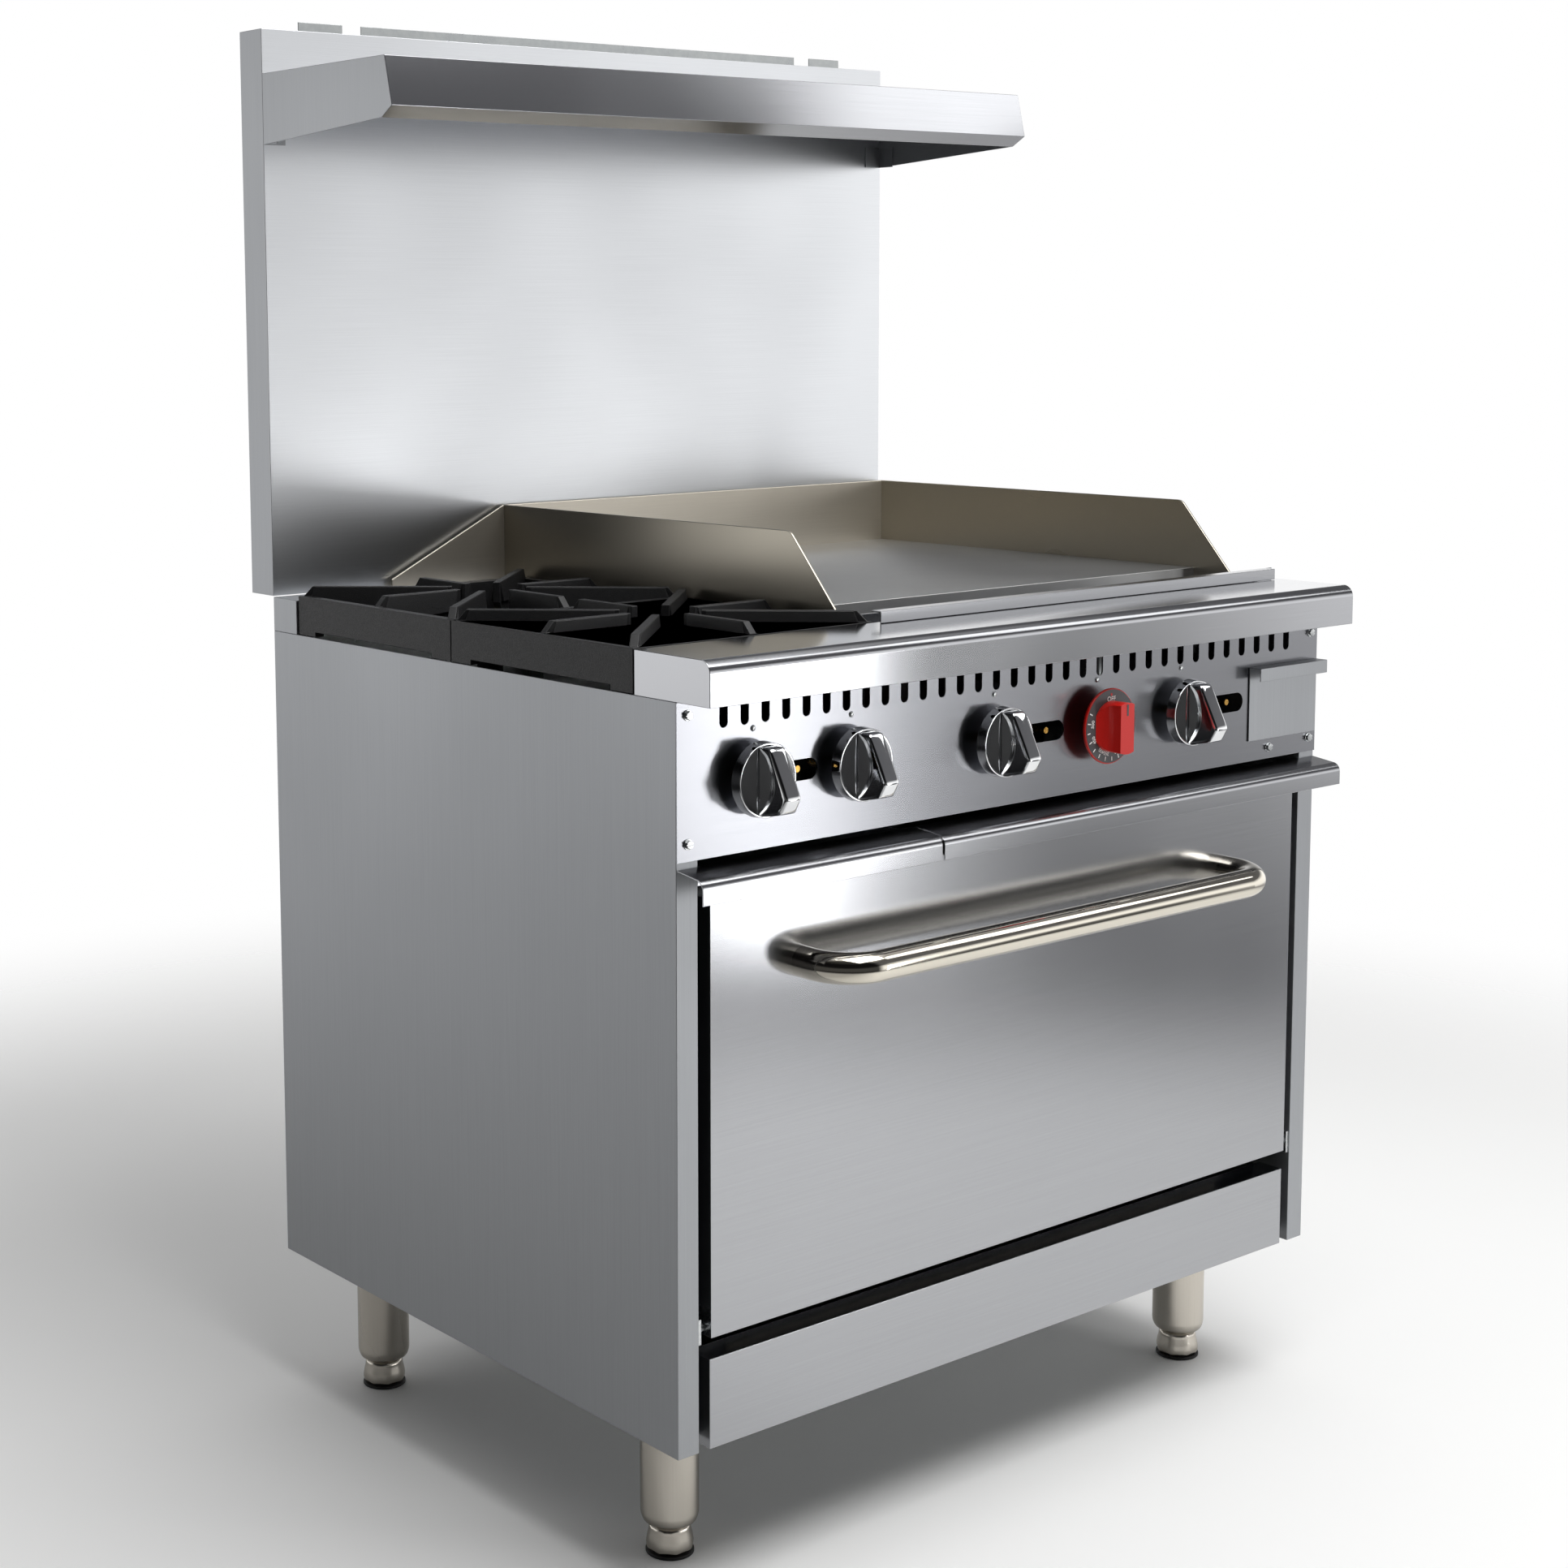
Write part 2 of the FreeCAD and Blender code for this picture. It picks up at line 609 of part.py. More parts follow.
block_z = ("door_low + door_skin", "door_low + door_skin + hinge_block")
block_y = ("door_face + door_skin", "door_back - door_skin")
block_ends = {-1: ("-door_half + door_skin", "-door_half + door_skin + hinge_block"),
              1: ("door_half - door_skin - hinge_block", "door_half - door_skin")}
bore_ends = {-1: ("-half", "-door_half + pin_length + pin_recess"),
             1: ("door_half - pin_length - pin_recess", "half")}
node("door_hinge_blocks", together("door_hinge_blocks", [
    cut(f"hinge_block_{side}", block(f"hinge_blank_{side}", block_ends[side], block_y, block_z),
        [rod(f"hinge_bore_{side}", "x", pin_bore, ("hinge_y", "hinge_z"), bore_ends[side])])
    for side in (-1, 1)]))

plate_ends = {-1: ("-inside", "-inside + hinge_plate"), 1: ("inside - hinge_plate", "inside")}
pin_ends = {-1: ("-inside", "-door_half + pin_length"), 1: ("door_half - pin_length", "inside")}
node("hinge_pins", together("hinge_pins", [
    join(f"hinge_pin_{side}", [
        block(f"hinge_plate_{side}", plate_ends[side], ("front + skin", "front + flange_return"),
              ("hinge_z - hinge_back", "hinge_z + hinge_back")),
        rod(f"hinge_rod_{side}", "x", "pin_radius", ("hinge_y", "hinge_z"), pin_ends[side])])
    for side in (-1, 1)]))

wool_gap = "(door_skin + seat_gap)"
node("door_insulation", cut("door_insulation", block(
    "door_wool", (f"-door_half + {wool_gap}", f"door_half - {wool_gap}"),
    (f"door_face + {wool_gap}", f"door_back - {wool_gap}"),
    (f"door_low + {wool_gap}", f"door_high - {wool_gap}")),
    [block(f"wool_corner_{side}",
           (block_ends[side][0] + " - door_skin", block_ends[side][1] + " + door_skin"),
           ("door_face", "door_back"), ("door_low", "door_low + 2 * door_skin + hinge_block"))
     for side in (-1, 1)]
    + [rod(f"wool_screw_{side}", "y", "handle_radius", (f"{side} * handle_half", "handle_z"),
           ("door_face", "door_back")) for side in (-1, 1)]))


def handle_solid(name, radius, start):
    """Straight bar, two quarter bends and two stubs that run back to the door."""
    bar_y = "door_face - handle_reach"
    pieces = [rod(name + "_bar", "x", radius, (bar_y, "handle_z"),
                  ("-handle_half + handle_bend", "handle_half - handle_bend"))]
    for side in (-1, 1):
        pieces.append(rod(f"{name}_stub_{side}", "y", radius, (f"{side} * handle_half", "handle_z"),
                          (bar_y + " + handle_bend", start)))
        bend = doc.addObject("Part::Torus", f"{name}_bend_{side}")
        turn = 180 if side < 0 else 270
        bend.Placement = FreeCAD.Placement(FreeCAD.Vector(),
                                           FreeCAD.Rotation(FreeCAD.Vector(0, 0, 1), turn))
        bend.Angle3 = 90
        bind(bend, "Radius1", "handle_bend")
        bind(bend, "Radius2", radius)
        place(bend, f"{side} * (handle_half - handle_bend)", bar_y + " + handle_bend", "handle_z")
        pieces.append(bend)
    return join(name, pieces)


node("door_handle", cut("door_handle", handle_solid("handle_outside", "handle_radius", "door_face"),
                        [handle_solid("handle_inside", "handle_radius - handle_wall",
                                      "door_face - screw_grip")]
                        + [rod(f"handle_bore_{side}", "y", "screw_shank + pin_fit",
                               (f"{side} * handle_half", "handle_z"),
                               ("door_face - screw_grip - skin", "door_face + skin")) for side in (-1, 1)]))
for side in (-1, 1):
    hole = rod(f"door_screw_hole_{side}", "y", "screw_shank + pin_fit", (f"{side} * handle_half", "handle_z"),
               ("door_face - skin", "door_face + 2 * door_skin"))
    skin = NODES["door_outer_panel"]
    drilled = cut(f"door_drilled_{side}", skin, [hole])
    skin.Label = f"door_undrilled_{side}"
    node("door_outer_panel", drilled)
node("handle_screws", together("handle_screws", [
    join(f"handle_screw_{side}", [
        rod(f"handle_shank_{side}", "y", "screw_shank", (f"{side} * handle_half", "handle_z"),
            ("door_face - screw_grip", "door_face + 2 * door_skin")),
        rod(f"handle_head_{side}", "y", "2 * screw_shank", (f"{side} * handle_half", "handle_z"),
            ("door_face + door_skin", "door_face + door_skin + screw_head"))])
    for side in (-1, 1)]))

# ---------------------------------------------------------------- control panel
body = doc.addObject("PartDesign::Body", "panel_body")


def panel_sketch(name):
    """An empty sketch on the panel's own front plane."""
    sketch = body.newObject("Sketcher::SketchObject", name)
    datum = [item for item in body.Origin.OriginFeatures if item.Role == "XZ_Plane"][0]
    sketch.AttachmentSupport = [(datum, "")]
    sketch.MapMode = "FlatFace"
    return sketch


def draw_box(sketch, x, z):
    """A rectangle held by its four limits."""
    first = sketch.GeometryCount
    corners = [(x[0], z[0]), (x[1], z[0]), (x[1], z[1]), (x[0], z[1])]
    spots = [FreeCAD.Vector(number(u), number(v), 0) for u, v in corners]
    for i in range(4):
        sketch.addGeometry(Part.LineSegment(spots[i], spots[(i + 1) % 4]), False)
    for i in range(4):
        sketch.addConstraint(Sketcher.Constraint("Coincident", first + i, 2, first + (i + 1) % 4, 1))
    for i, (u, v) in enumerate(corners):
        for kind, text in (("DistanceX", u), ("DistanceY", v)):
            index = sketch.addConstraint(Sketcher.Constraint(kind, -1, 1, first + i, 1, number(text)))
            bind(sketch, f"Constraints[{index}]", text)


def draw_slot(sketch, x, z):
    """A slot with round ends, held by its four limits."""
    upright = number(f"({z[1]}) - ({z[0]})") > number(f"({x[1]}) - ({x[0]})")
    across, along = (x, z) if upright else (z, x)
    radius = f"(({across[1]}) - ({across[0]})) / 2"
    ends = (f"({along[0]}) + {radius}", f"({along[1]}) - {radius}")
    middle = f"(({across[0]}) + ({across[1]})) / 2"
    corners = [(ends[0], across[0]), (ends[1], across[0]), (ends[1], across[1]), (ends[0], across[1])]
    tips = [(along[1], middle), (along[0], middle)]
    if upright:
        corners, tips = [spot[::-1] for spot in corners], [spot[::-1] for spot in tips]
    spots = [FreeCAD.Vector(number(u), number(v), 0) for u, v in corners]
    turns = [FreeCAD.Vector(number(u), number(v), 0) for u, v in tips]
    straight = [sketch.addGeometry(Part.LineSegment(spots[0], spots[1]), False),
                sketch.addGeometry(Part.LineSegment(spots[2], spots[3]), False)]
    round_ends = [sketch.addGeometry(Part.Arc(spots[1], turns[0], spots[2]), False),
                  sketch.addGeometry(Part.Arc(spots[3], turns[1], spots[0]), False)]
    for i, arc in enumerate(round_ends):
        order = (1, 2) if (sketch.getPoint(arc, 1) - spots[1 + 2 * i]).Length < 0.001 else (2, 1)
        sketch.addConstraint(Sketcher.Constraint("Coincident", arc, order[0], straight[i], 2))
        sketch.addConstraint(Sketcher.Constraint("Coincident", arc, order[1], straight[1 - i], 1))
    for corner in range(4):
        line, end = straight[corner // 2], 1 + corner % 2
        for kind, text in zip(("DistanceX", "DistanceY"), corners[corner]):
            index = sketch.addConstraint(Sketcher.Constraint(kind, -1, 1, line, end, number(text)))
            bind(sketch, f"Constraints[{index}]", text)
    kind = "DistanceY" if upright else "DistanceX"
    for arc, text in zip(round_ends, (ends[1], ends[0])):
        index = sketch.addConstraint(Sketcher.Constraint(kind, -1, 1, arc, 3, number(text)))
        bind(sketch, f"Constraints[{index}]", text)


def draw_circle(sketch, centre, radius):
    spot = FreeCAD.Vector(number(centre[0]), number(centre[1]), 0)
    ring = sketch.addGeometry(Part.Circle(spot, FreeCAD.Vector(0, 0, 1), number(radius)), False)
    for kind, text in (("DistanceX", centre[0]), ("DistanceY", centre[1])):
        index = sketch.addConstraint(Sketcher.Constraint(kind, -1, 1, ring, 3, number(text)))
        bind(sketch, f"Constraints[{index}]", text)
    index = sketch.addConstraint(Sketcher.Constraint("Radius", ring, number(radius)))
    bind(sketch, f"Constraints[{index}]", radius)


def pocket(name, sketch):
    """Cut a sketch right through the panel."""
    hole = body.newObject("PartDesign::Pocket", name)
    hole.Profile = sketch
    hole.Type = "ThroughAll"
    hole.Midplane = True
    doc.recompute()
    return hole


outline = panel_sketch("panel_outline")
draw_box(outline, ("-half", "half"), ("panel_low", "top - seat_gap"))
panel_pad = body.newObject("PartDesign::Pad", "panel_pad")
panel_pad.Profile = outline
bind(panel_pad, "Length", "panel_thick")
doc.recompute()

KNOB_SPOTS = {"knob_1": "knob_one", "knob_2": "knob_two", "knob_3": "knob_three", "knob_4": "knob_four"}
PILOT_ENDS = ("pilot_one", "pilot_two", "pilot_three")
openings = panel_sketch("panel_openings")
for spot in list(KNOB_SPOTS.values()) + ["dial_place"]:
    draw_circle(openings, (spot, "knob_z"), "stem_radius + slide_gap")
draw_box(openings, ("drawer_left + slide_gap", "inside"),
         ("drawer_low + slide_gap", "drawer_high - slide_gap"))
pocket("panel_cut_openings", openings)

pilot_sketch = panel_sketch("pilot_slots")
for end in PILOT_ENDS:
    draw_slot(pilot_sketch, (f"{end} - pilot_slot_length", end),
              ("knob_z - pilot_slot_height / 2", "knob_z + pilot_slot_height / 2"))
pocket("panel_cut_pilots", pilot_sketch)

vent_sketch = panel_sketch("vent_slot")
first_slot = "-(slot_count - 1) * slot_pitch / 2"
draw_slot(vent_sketch, (f"{first_slot} - slot_width / 2", f"{first_slot} + slot_width / 2"),
          ("top - slot_drop", "top - slot_start"))
vent_pocket = pocket("panel_cut_vent", vent_sketch)
vents = body.newObject("PartDesign::LinearPattern", "panel_vents")
vents.Originals = [vent_pocket]
vents.Direction = (vent_sketch, ["H_Axis"])
bind(vents, "Length", "(slot_count - 1) * slot_pitch")
bind(vents, "Occurrences", "slot_count")
body.Tip = vents
doc.recompute()
bind(body, ".Placement.Base.y", "front")
node("control_panel", body)

screw_x = ("-half + screw_inset", "half - screw_inset")
screw_z = ("panel_low + screw_inset + pin_recess", "top - screw_inset")
node("panel_screws", together("panel_screws", [
    rod(f"panel_screw_{i}_{j}", "y", "screw_radius", (x, z), ("panel_face - screw_head", "panel_face"))
    for i, x in enumerate(screw_x) for j, z in enumerate(screw_z)]))
node("pointer_rivets", together("pointer_rivets", [
    rod(f"pointer_rivet_{i}", "y", "rivet_radius", (x, "knob_z + rivet_rise"),
        ("panel_face - skin", "panel_face"))
    for i, x in enumerate(list(KNOB_SPOTS.values()) + ["dial_place"])]))

# ---------------------------------------------------------------- knobs, stems and valves
stem_span = ("knob_back - stem_seat", "knob_back + stem_length")
socket_span = ("knob_back - stem_seat - slide_gap", "knob_back + skin")


def burner_knob(label, spot):
    """Round skirt and a grip that stands out further towards its lower end."""
    outline = [("knob_front + seat_gap", "knob_z + 0.94 * knob_radius"),
               ("knob_front - grip_low", "knob_z + 0.9 * knob_radius"),
               ("knob_front - grip_high", "knob_z - 0.36 * knob_radius"),
               ("knob_front - 0.75 * grip_high", "knob_z - 0.8 * knob_radius"),
               ("knob_front + seat_gap", "knob_z - 0.94 * knob_radius")]
    grip = prism(label + "_grip", "yz", outline,
                 (f"{spot} - grip_width / 2", f"{spot} + grip_width / 2"))
    skirt = rod(label + "_skirt", "y", "knob_radius", (spot, "knob_z"), ("knob_front", "knob_back"))
    socket = rod(label + "_socket", "y", "stem_radius + stem_fit", (spot, "knob_z"), socket_span)
    return node(label, cut(label, join(label + "_blank", [skirt, grip]), [socket]))


def stem(label, spot):
    return node(label, rod(label, "y", "stem_radius", (spot, "knob_z"), stem_span))


def valve(name, spot):
    """Brass tap body with a bore for its stem."""
    barrel = rod(name, "y", "valve_radius", (spot, "knob_z"),
                 ("front + valve_start", "front + manifold_back - manifold_radius"))
    bore = rod(name + "_bore", "y", "stem_radius + stem_fit", (spot, "knob_z"),
               ("front", "knob_back + stem_length + slide_gap"))
    return cut(name + "_bored", barrel, [bore])


for label, spot in KNOB_SPOTS.items():
    burner_knob(label, spot)
    stem("stem_" + label[-1], spot)
node("burner_valves", together("burner_valves", [
    valve("valve_" + label[-1], spot) for label, spot in KNOB_SPOTS.items()]))

node("thermostat_knob", cut("thermostat_knob", join("thermostat_blank", [
    rod("dial_disc", "y", "dial_radius", ("dial_place", "knob_z"),
        ("knob_back - dial_thick", "knob_back")),
    rod("dial_hub", "y", "0.68 * dial_radius", ("dial_place", "knob_z"),
        ("knob_back - dial_thick - dial_grip / 3", "knob_back")),
    block("dial_bar", ("dial_place - grip_width / 2", "dial_place + grip_width / 2"),
          ("knob_back - dial_thick - dial_grip", "knob_back - dial_thick"),
          ("knob_z - 0.62 * dial_radius", "knob_z + 0.62 * dial_radius"))]),
    [rod("dial_socket", "y", "stem_radius + stem_fit", ("dial_place", "knob_z"), socket_span)]))
stem("thermostat_stem", "dial_place")
node("thermostat_body", cut("thermostat_body", block(
    "thermostat_box", ("dial_place - 2 * valve_radius", "dial_place + 2 * valve_radius"),
    ("front + valve_start", "front + manifold_back - manifold_radius"),
    ("knob_z - 3 * valve_radius", "knob_z + 2 * valve_radius")),
    [rod("thermostat_bore", "y", "stem_radius + stem_fit", ("dial_place", "knob_z"),
         ("front", "knob_back + stem_length + slide_gap"))]))

manifold_y = "front + manifold_back"
node("gas_manifold", join("gas_manifold", [
    rod("manifold_bar", "x", "manifold_radius", (manifold_y, "knob_z"),
        ("knob_one - 2 * valve_radius", "inlet_side + manifold_radius")),
    rod("inlet_run", "y", "inlet_radius - seat_gap", ("inlet_side", "knob_z"), (manifold_y, "back")),
    rod("inlet_end", "y", "inlet_radius", ("inlet_side", "knob_z"), ("back", "back + inlet_reach"))]))
node("pilot_tubes", together("pilot_tubes", [
    rod(f"pilot_tube_{i}", "y", "pilot_radius", (f"{end} - pilot_slot_height", "knob_z"),
        ("front + 2 * slide_gap", "front + manifold_back - manifold_radius"))
    for i, end in enumerate(PILOT_ENDS)]))


def open_burner(name, spot, centre_y):
    """Cast head on a neck, with its mixing tube running back from the valve."""
    tube_z = "knob_z"
    head_top = "top + grate_height - burner_drop"
    return join(name, [
        rod(name + "_tube", "y", "burner_tube", (spot, tube_z),
            (manifold_y + " + manifold_radius + slide_gap", centre_y)),
        rod(name + "_arm", "x", "burner_tube", (centre_y, tube_z),
            tuple(sorted((spot, "burner_x"), key=number))),
        rod(name + "_neck", "z", "burner_tube", ("burner_x", centre_y), (tube_z, head_top)),
        rod(name + "_head", "z", "burner_radius", ("burner_x", centre_y),
            (head_top + " - burner_height", head_top)),
    ])


front_burner_y = "(grate_front + grate_middle) / 2"
rear_burner_y = "(grate_middle + grate_back) / 2"
node("open_burners", together("open_burners", [
    open_burner("front_burner", "knob_one", front_burner_y),
    open_burner("rear_burner", "knob_two", rear_burner_y)]))


def griddle_burner(name, spot):
    """U-shaped tube under the griddle, fed from the front."""
    tube_z = "griddle_z - griddle_plate - 2 * burner_tube"
    ends = (manifold_y + " + 4 * burner_tube", "back - rear_rail_depth - 4 * burner_tube")
    legs = [rod(f"{name}_leg_{i}", "y", "burner_tube", (f"{spot} {sign} 4 * burner_tube", tube_z), ends)
            for i, sign in enumerate("-+")]
    cross = rod(name + "_cross", "x", "burner_tube", (ends[0], tube_z),
                (f"{spot} - 4 * burner_tube", f"{spot} + 4 * burner_tube"))
    feed = rod(name + "_feed", "z", "burner_tube", (spot, ends[0]), ("knob_z", tube_z))
    inlet = rod(name + "_inlet", "y", "burner_tube", (spot, "knob_z"),
                (manifold_y + " + manifold_radius + slide_gap", ends[0]))
    return join(name, legs + [cross, feed, inlet])


node("griddle_burners", together("griddle_burners", [
    griddle_burner("griddle_burner_1", "knob_three"), griddle_burner("griddle_burner_2", "knob_four")]))

# ---------------------------------------------------------------- drip trays and grease drawer
rail_top = "tray_z - seat_gap"
rail_low = "tray_z - 2 * slide_gap"
rail_y = ("frame_y", "back - skin")


def drip_tray(label, x_lip, x_pan):
    """Shallow pan whose front sheet slopes out under the panel and turns down to a lip."""
    pan_y = ("front + slide_gap + seat_gap", "front + tray_depth")
    floor_z = "tray_z"
    pan = cut(label + "_pan", block(label + "_blank", x_pan, pan_y,
                                    (floor_z, floor_z + " + tray_wall_height")),
              [block(label + "_hollow", (x_pan[0] + " + tray_sheet", x_pan[1] + " - tray_sheet"),
                     (pan_y[0] + " + tray_sheet", pan_y[1] + " - tray_sheet"),
                     (floor_z + " + tray_sheet", floor_z + " + 2 * tray_wall_height"))])
    high, low = "lip_high", "lip_low"
    riser = block(label + "_front_wall", x_pan, (pan_y[0], pan_y[0] + " + tray_sheet"),
                  (floor_z, high + " + 2 * slide_gap"))
    lip_y = "front - tray_reach"
    outline = [(pan_y[0] + " + tray_sheet", high + " + 3.5 * slide_gap"), (lip_y, high + " + slide_gap"),
               (lip_y, low), (lip_y + " + tray_sheet", low),
               (lip_y + " + tray_sheet", high + " + slide_gap - tray_sheet"),
               (pan_y[0] + " + tray_sheet", high + " + 3.5 * slide_gap - tray_sheet")]
    apron = prism(label + "_apron", "yz", outline, x_lip,
                  {1: "tray_bend", 4: "tray_bend - tray_sheet"})
    clear = [block(f"{label}_flange_notch_{i}", x, ("front - seat_gap", "front + flange_return"),
                   (low, "panel_low"))
             for i, x in enumerate((("-half - skin", "-inside + slide_gap"),
                                    ("inside - slide_gap", "half + skin")))]
    return node(label, join(label, [pan, riser, cut(label + "_lip", apron, clear)]))


drip_tray("drip_tray_left", ("-half + seat_gap", "tray_split - tray_gap / 2"),
          ("-inside + slide_gap", "tray_split - tray_gap / 2"))
drip_tray("drip_tray_right", ("tray_split + tray_gap / 2", "half - seat_gap"),
          ("tray_split + tray_gap / 2", "inside - slide_gap"))

cross_z = ("knob_z - burner_tube - 2 * frame_thick", "knob_z - burner_tube")
# the middle runner stands under the joint between the trays, but always clear of the flue duct
runner = "min(tray_split; -oven_width / 6 - 2 * skin - 6 * frame_thick)"
node("burner_rails", together("burner_rails", [
    block("runner_left", ("-inside", "-inside + 6 * frame_thick"), rail_y, (rail_low, rail_top)),
    block("runner_middle", (runner + " - 6 * frame_thick", runner + " + 6 * frame_thick"), rail_y,
          (rail_low, rail_top)),
    block("runner_right", ("inside - 6 * frame_thick", "inside"), rail_y, (rail_low, rail_top)),
    block("cross_front", ("-half + skin", "drawer_left - slide_gap"),
          ("front + 1.5 * manifold_back", "front + 1.9 * manifold_back"), cross_z),
    block("cross_rear", ("-half + skin", "inlet_side - 2 * manifold_radius"),
          ("back - 3 * manifold_back", "back - 2.6 * manifold_back"), cross_z)]))

drawer_x = ("drawer_left + 2 * slide_gap", "inside - slide_gap")
drawer_y = ("panel_face - seat_gap", "front + drawer_depth")
drawer_z = ("drawer_low + 2 * slide_gap", "drawer_high - 4 * slide_gap")
face_y = ("panel_face - seat_gap - drawer_sheet", "panel_face - seat_gap")
node("grease_drawer", join("grease_drawer", [
    cut("drawer_pan", block("drawer_blank", drawer_x, drawer_y, drawer_z),
        [block("drawer_hollow", (drawer_x[0] + " + drawer_sheet", drawer_x[1] + " - drawer_sheet"),
               (drawer_y[0] + " + drawer_sheet", drawer_y[1] + " - drawer_sheet"),
               (drawer_z[0] + " + drawer_sheet", drawer_z[1] + " + drawer_sheet"))]),
    block("drawer_face", ("drawer_left", "half - slide_gap"), face_y,
          ("drawer_low", "drawer_high")),
    block("drawer_finger_lip", ("drawer_left", "half - slide_gap"),
          (face_y[0] + " - drawer_lip", face_y[0]),
          ("drawer_high - drawer_sheet", "drawer_high")),
    block("drawer_finger_fold", ("drawer_left", "half - slide_gap"),
          (face_y[0] + " - drawer_lip", face_y[0] + " - drawer_lip + drawer_sheet"),
          ("drawer_high - drawer_lip", "drawer_high"))]))

# ---------------------------------------------------------------- cooking top
ledge_outline = [("front - ledge_reach", "top"), ("front - ledge_reach", "top + ledge_height"),
                 ("front + ledge_back", "top + ledge_height"), ("front + ledge_back", "top")]
ledge_hollow = [("front - ledge_reach + skin", "top + skin"),
                ("front - ledge_reach + skin", "top + ledge_height - skin"),
                ("front + ledge_back + skin", "top + ledge_height - skin"),
                ("front + ledge_back + skin", "top + skin")]
node("front_ledge", cut("front_ledge",
                        prism("ledge_blank", "yz", ledge_outline, ("-half", "half"), {1: "ledge_radius"}),
                        [prism("ledge_inside", "yz", ledge_hollow, ("-half + skin", "half - skin"),
                               {1: "ledge_radius - skin"})]))

rail_span = ("back - rear_rail_depth", "back")
node("rear_rail", cut("rear_rail", block("rear_rail_blank", ("-half", "half"), rail_span,
                                         ("top", "top + rear_rail_height")),
                      [block("rear_rail_hollow", ("-half + skin", "half - skin"),
                             ("back - rear_rail_depth + skin", "back - skin"),
                             ("top - skin", "top + rear_rail_height - skin"))]))

plate_x = ("griddle_left + guard_sheet", "half - guard_sheet")
guard_back = "back - guard_inset"
node("griddle_plate", join("griddle_plate", [
    block("plate_front", plate_x, ("front + griddle_front", "back - rear_rail_depth - seat_gap"),
          ("griddle_z - griddle_plate", "griddle_z")),
    block("plate_rear", plate_x, ("back - rear_rail_depth - 2 * seat_gap", guard_back + " - guard_sheet"),
          ("top + rear_rail_height + seat_gap", "griddle_z"))]))

guard_low = "top + ledge_height + seat_gap"
guard_top = "griddle_z + guard_height"
side_outline = [("front + guard_front", guard_low), ("front + guard_front + guard_slope", guard_top),
                (guard_back, guard_top), (guard_back, "top + rear_rail_height"),
                ("back - rear_rail_depth", "top + rear_rail_height"),
                ("back - rear_rail_depth", "top"), ("front + guard_front", "top")]
wing_outline = [("griddle_left - wing_length", "top + rear_rail_height"),
                ("griddle_left - wing_length", "griddle_z"), ("griddle_left", guard_top),
                ("half", guard_top), ("half", "top + rear_rail_height")]
node("griddle_splash_guard", join("griddle_splash_guard", [
    prism("guard_left", "yz", side_outline, ("griddle_left", "griddle_left + guard_sheet"),
          {1: "ledge_radius"}),
    prism("guard_right", "yz", side_outline, ("half - guard_sheet", "half"), {1: "ledge_radius"}),
    prism("guard_rear", "xz", wing_outline, (guard_back + " - guard_sheet", guard_back))]))

trough_floor = "top + trough_drop"
trough_x = ("griddle_left + guard_sheet", "half - guard_sheet")
trough_y = ("front + ledge_back + seat_gap", "front + griddle_front - seat_gap")
chute_x = ("drawer_left + 3 * burner_tube - chute_half", "drawer_left + 3 * burner_tube + chute_half")
chute_y = ("front + griddle_front - 5 * chute_half", "front + griddle_front - 3 * chute_half")
chute_low = "drawer_high + 2 * slide_gap"
rail_height = "top + ledge_height + rail_rise"
trough_blank = join("trough_blank", [
    block("trough_floor", trough_x, trough_y, (trough_floor, trough_floor + " + trough_sheet")),
    block("trough_front", trough_x, (trough_y[0], trough_y[0] + " + trough_sheet"),
          (trough_floor, rail_height)),
    block("trough_back", trough_x, (trough_y[1] + " - trough_sheet", trough_y[1]),
          (trough_floor, "griddle_z - griddle_plate / 2")),
    block("trough_rail_top", ("griddle_left - rail_left", "half - rail_right"),
          (trough_y[0] + " - rail_rise", trough_y[0] + " + trough_sheet"),
          (rail_height + " - trough_sheet", rail_height)),
    block("trough_rail_front", ("griddle_left - rail_left", "half - rail_right"),
          (trough_y[0] + " - rail_rise", trough_y[0] + " - rail_rise + trough_sheet"),
          ("top + ledge_height + seat_gap", rail_height)),
    block("chute_wall", chute_x, chute_y, (chute_low, trough_floor)),
])
node("griddle_trough", cut("griddle_trough", trough_blank, [
    block("chute_hollow", (chute_x[0] + " + trough_sheet", chute_x[1] + " - trough_sheet"),
          (chute_y[0] + " + trough_sheet", chute_y[1] + " - trough_sheet"),
          (chute_low + " - trough_sheet", trough_floor + " + 2 * trough_sheet"))]))


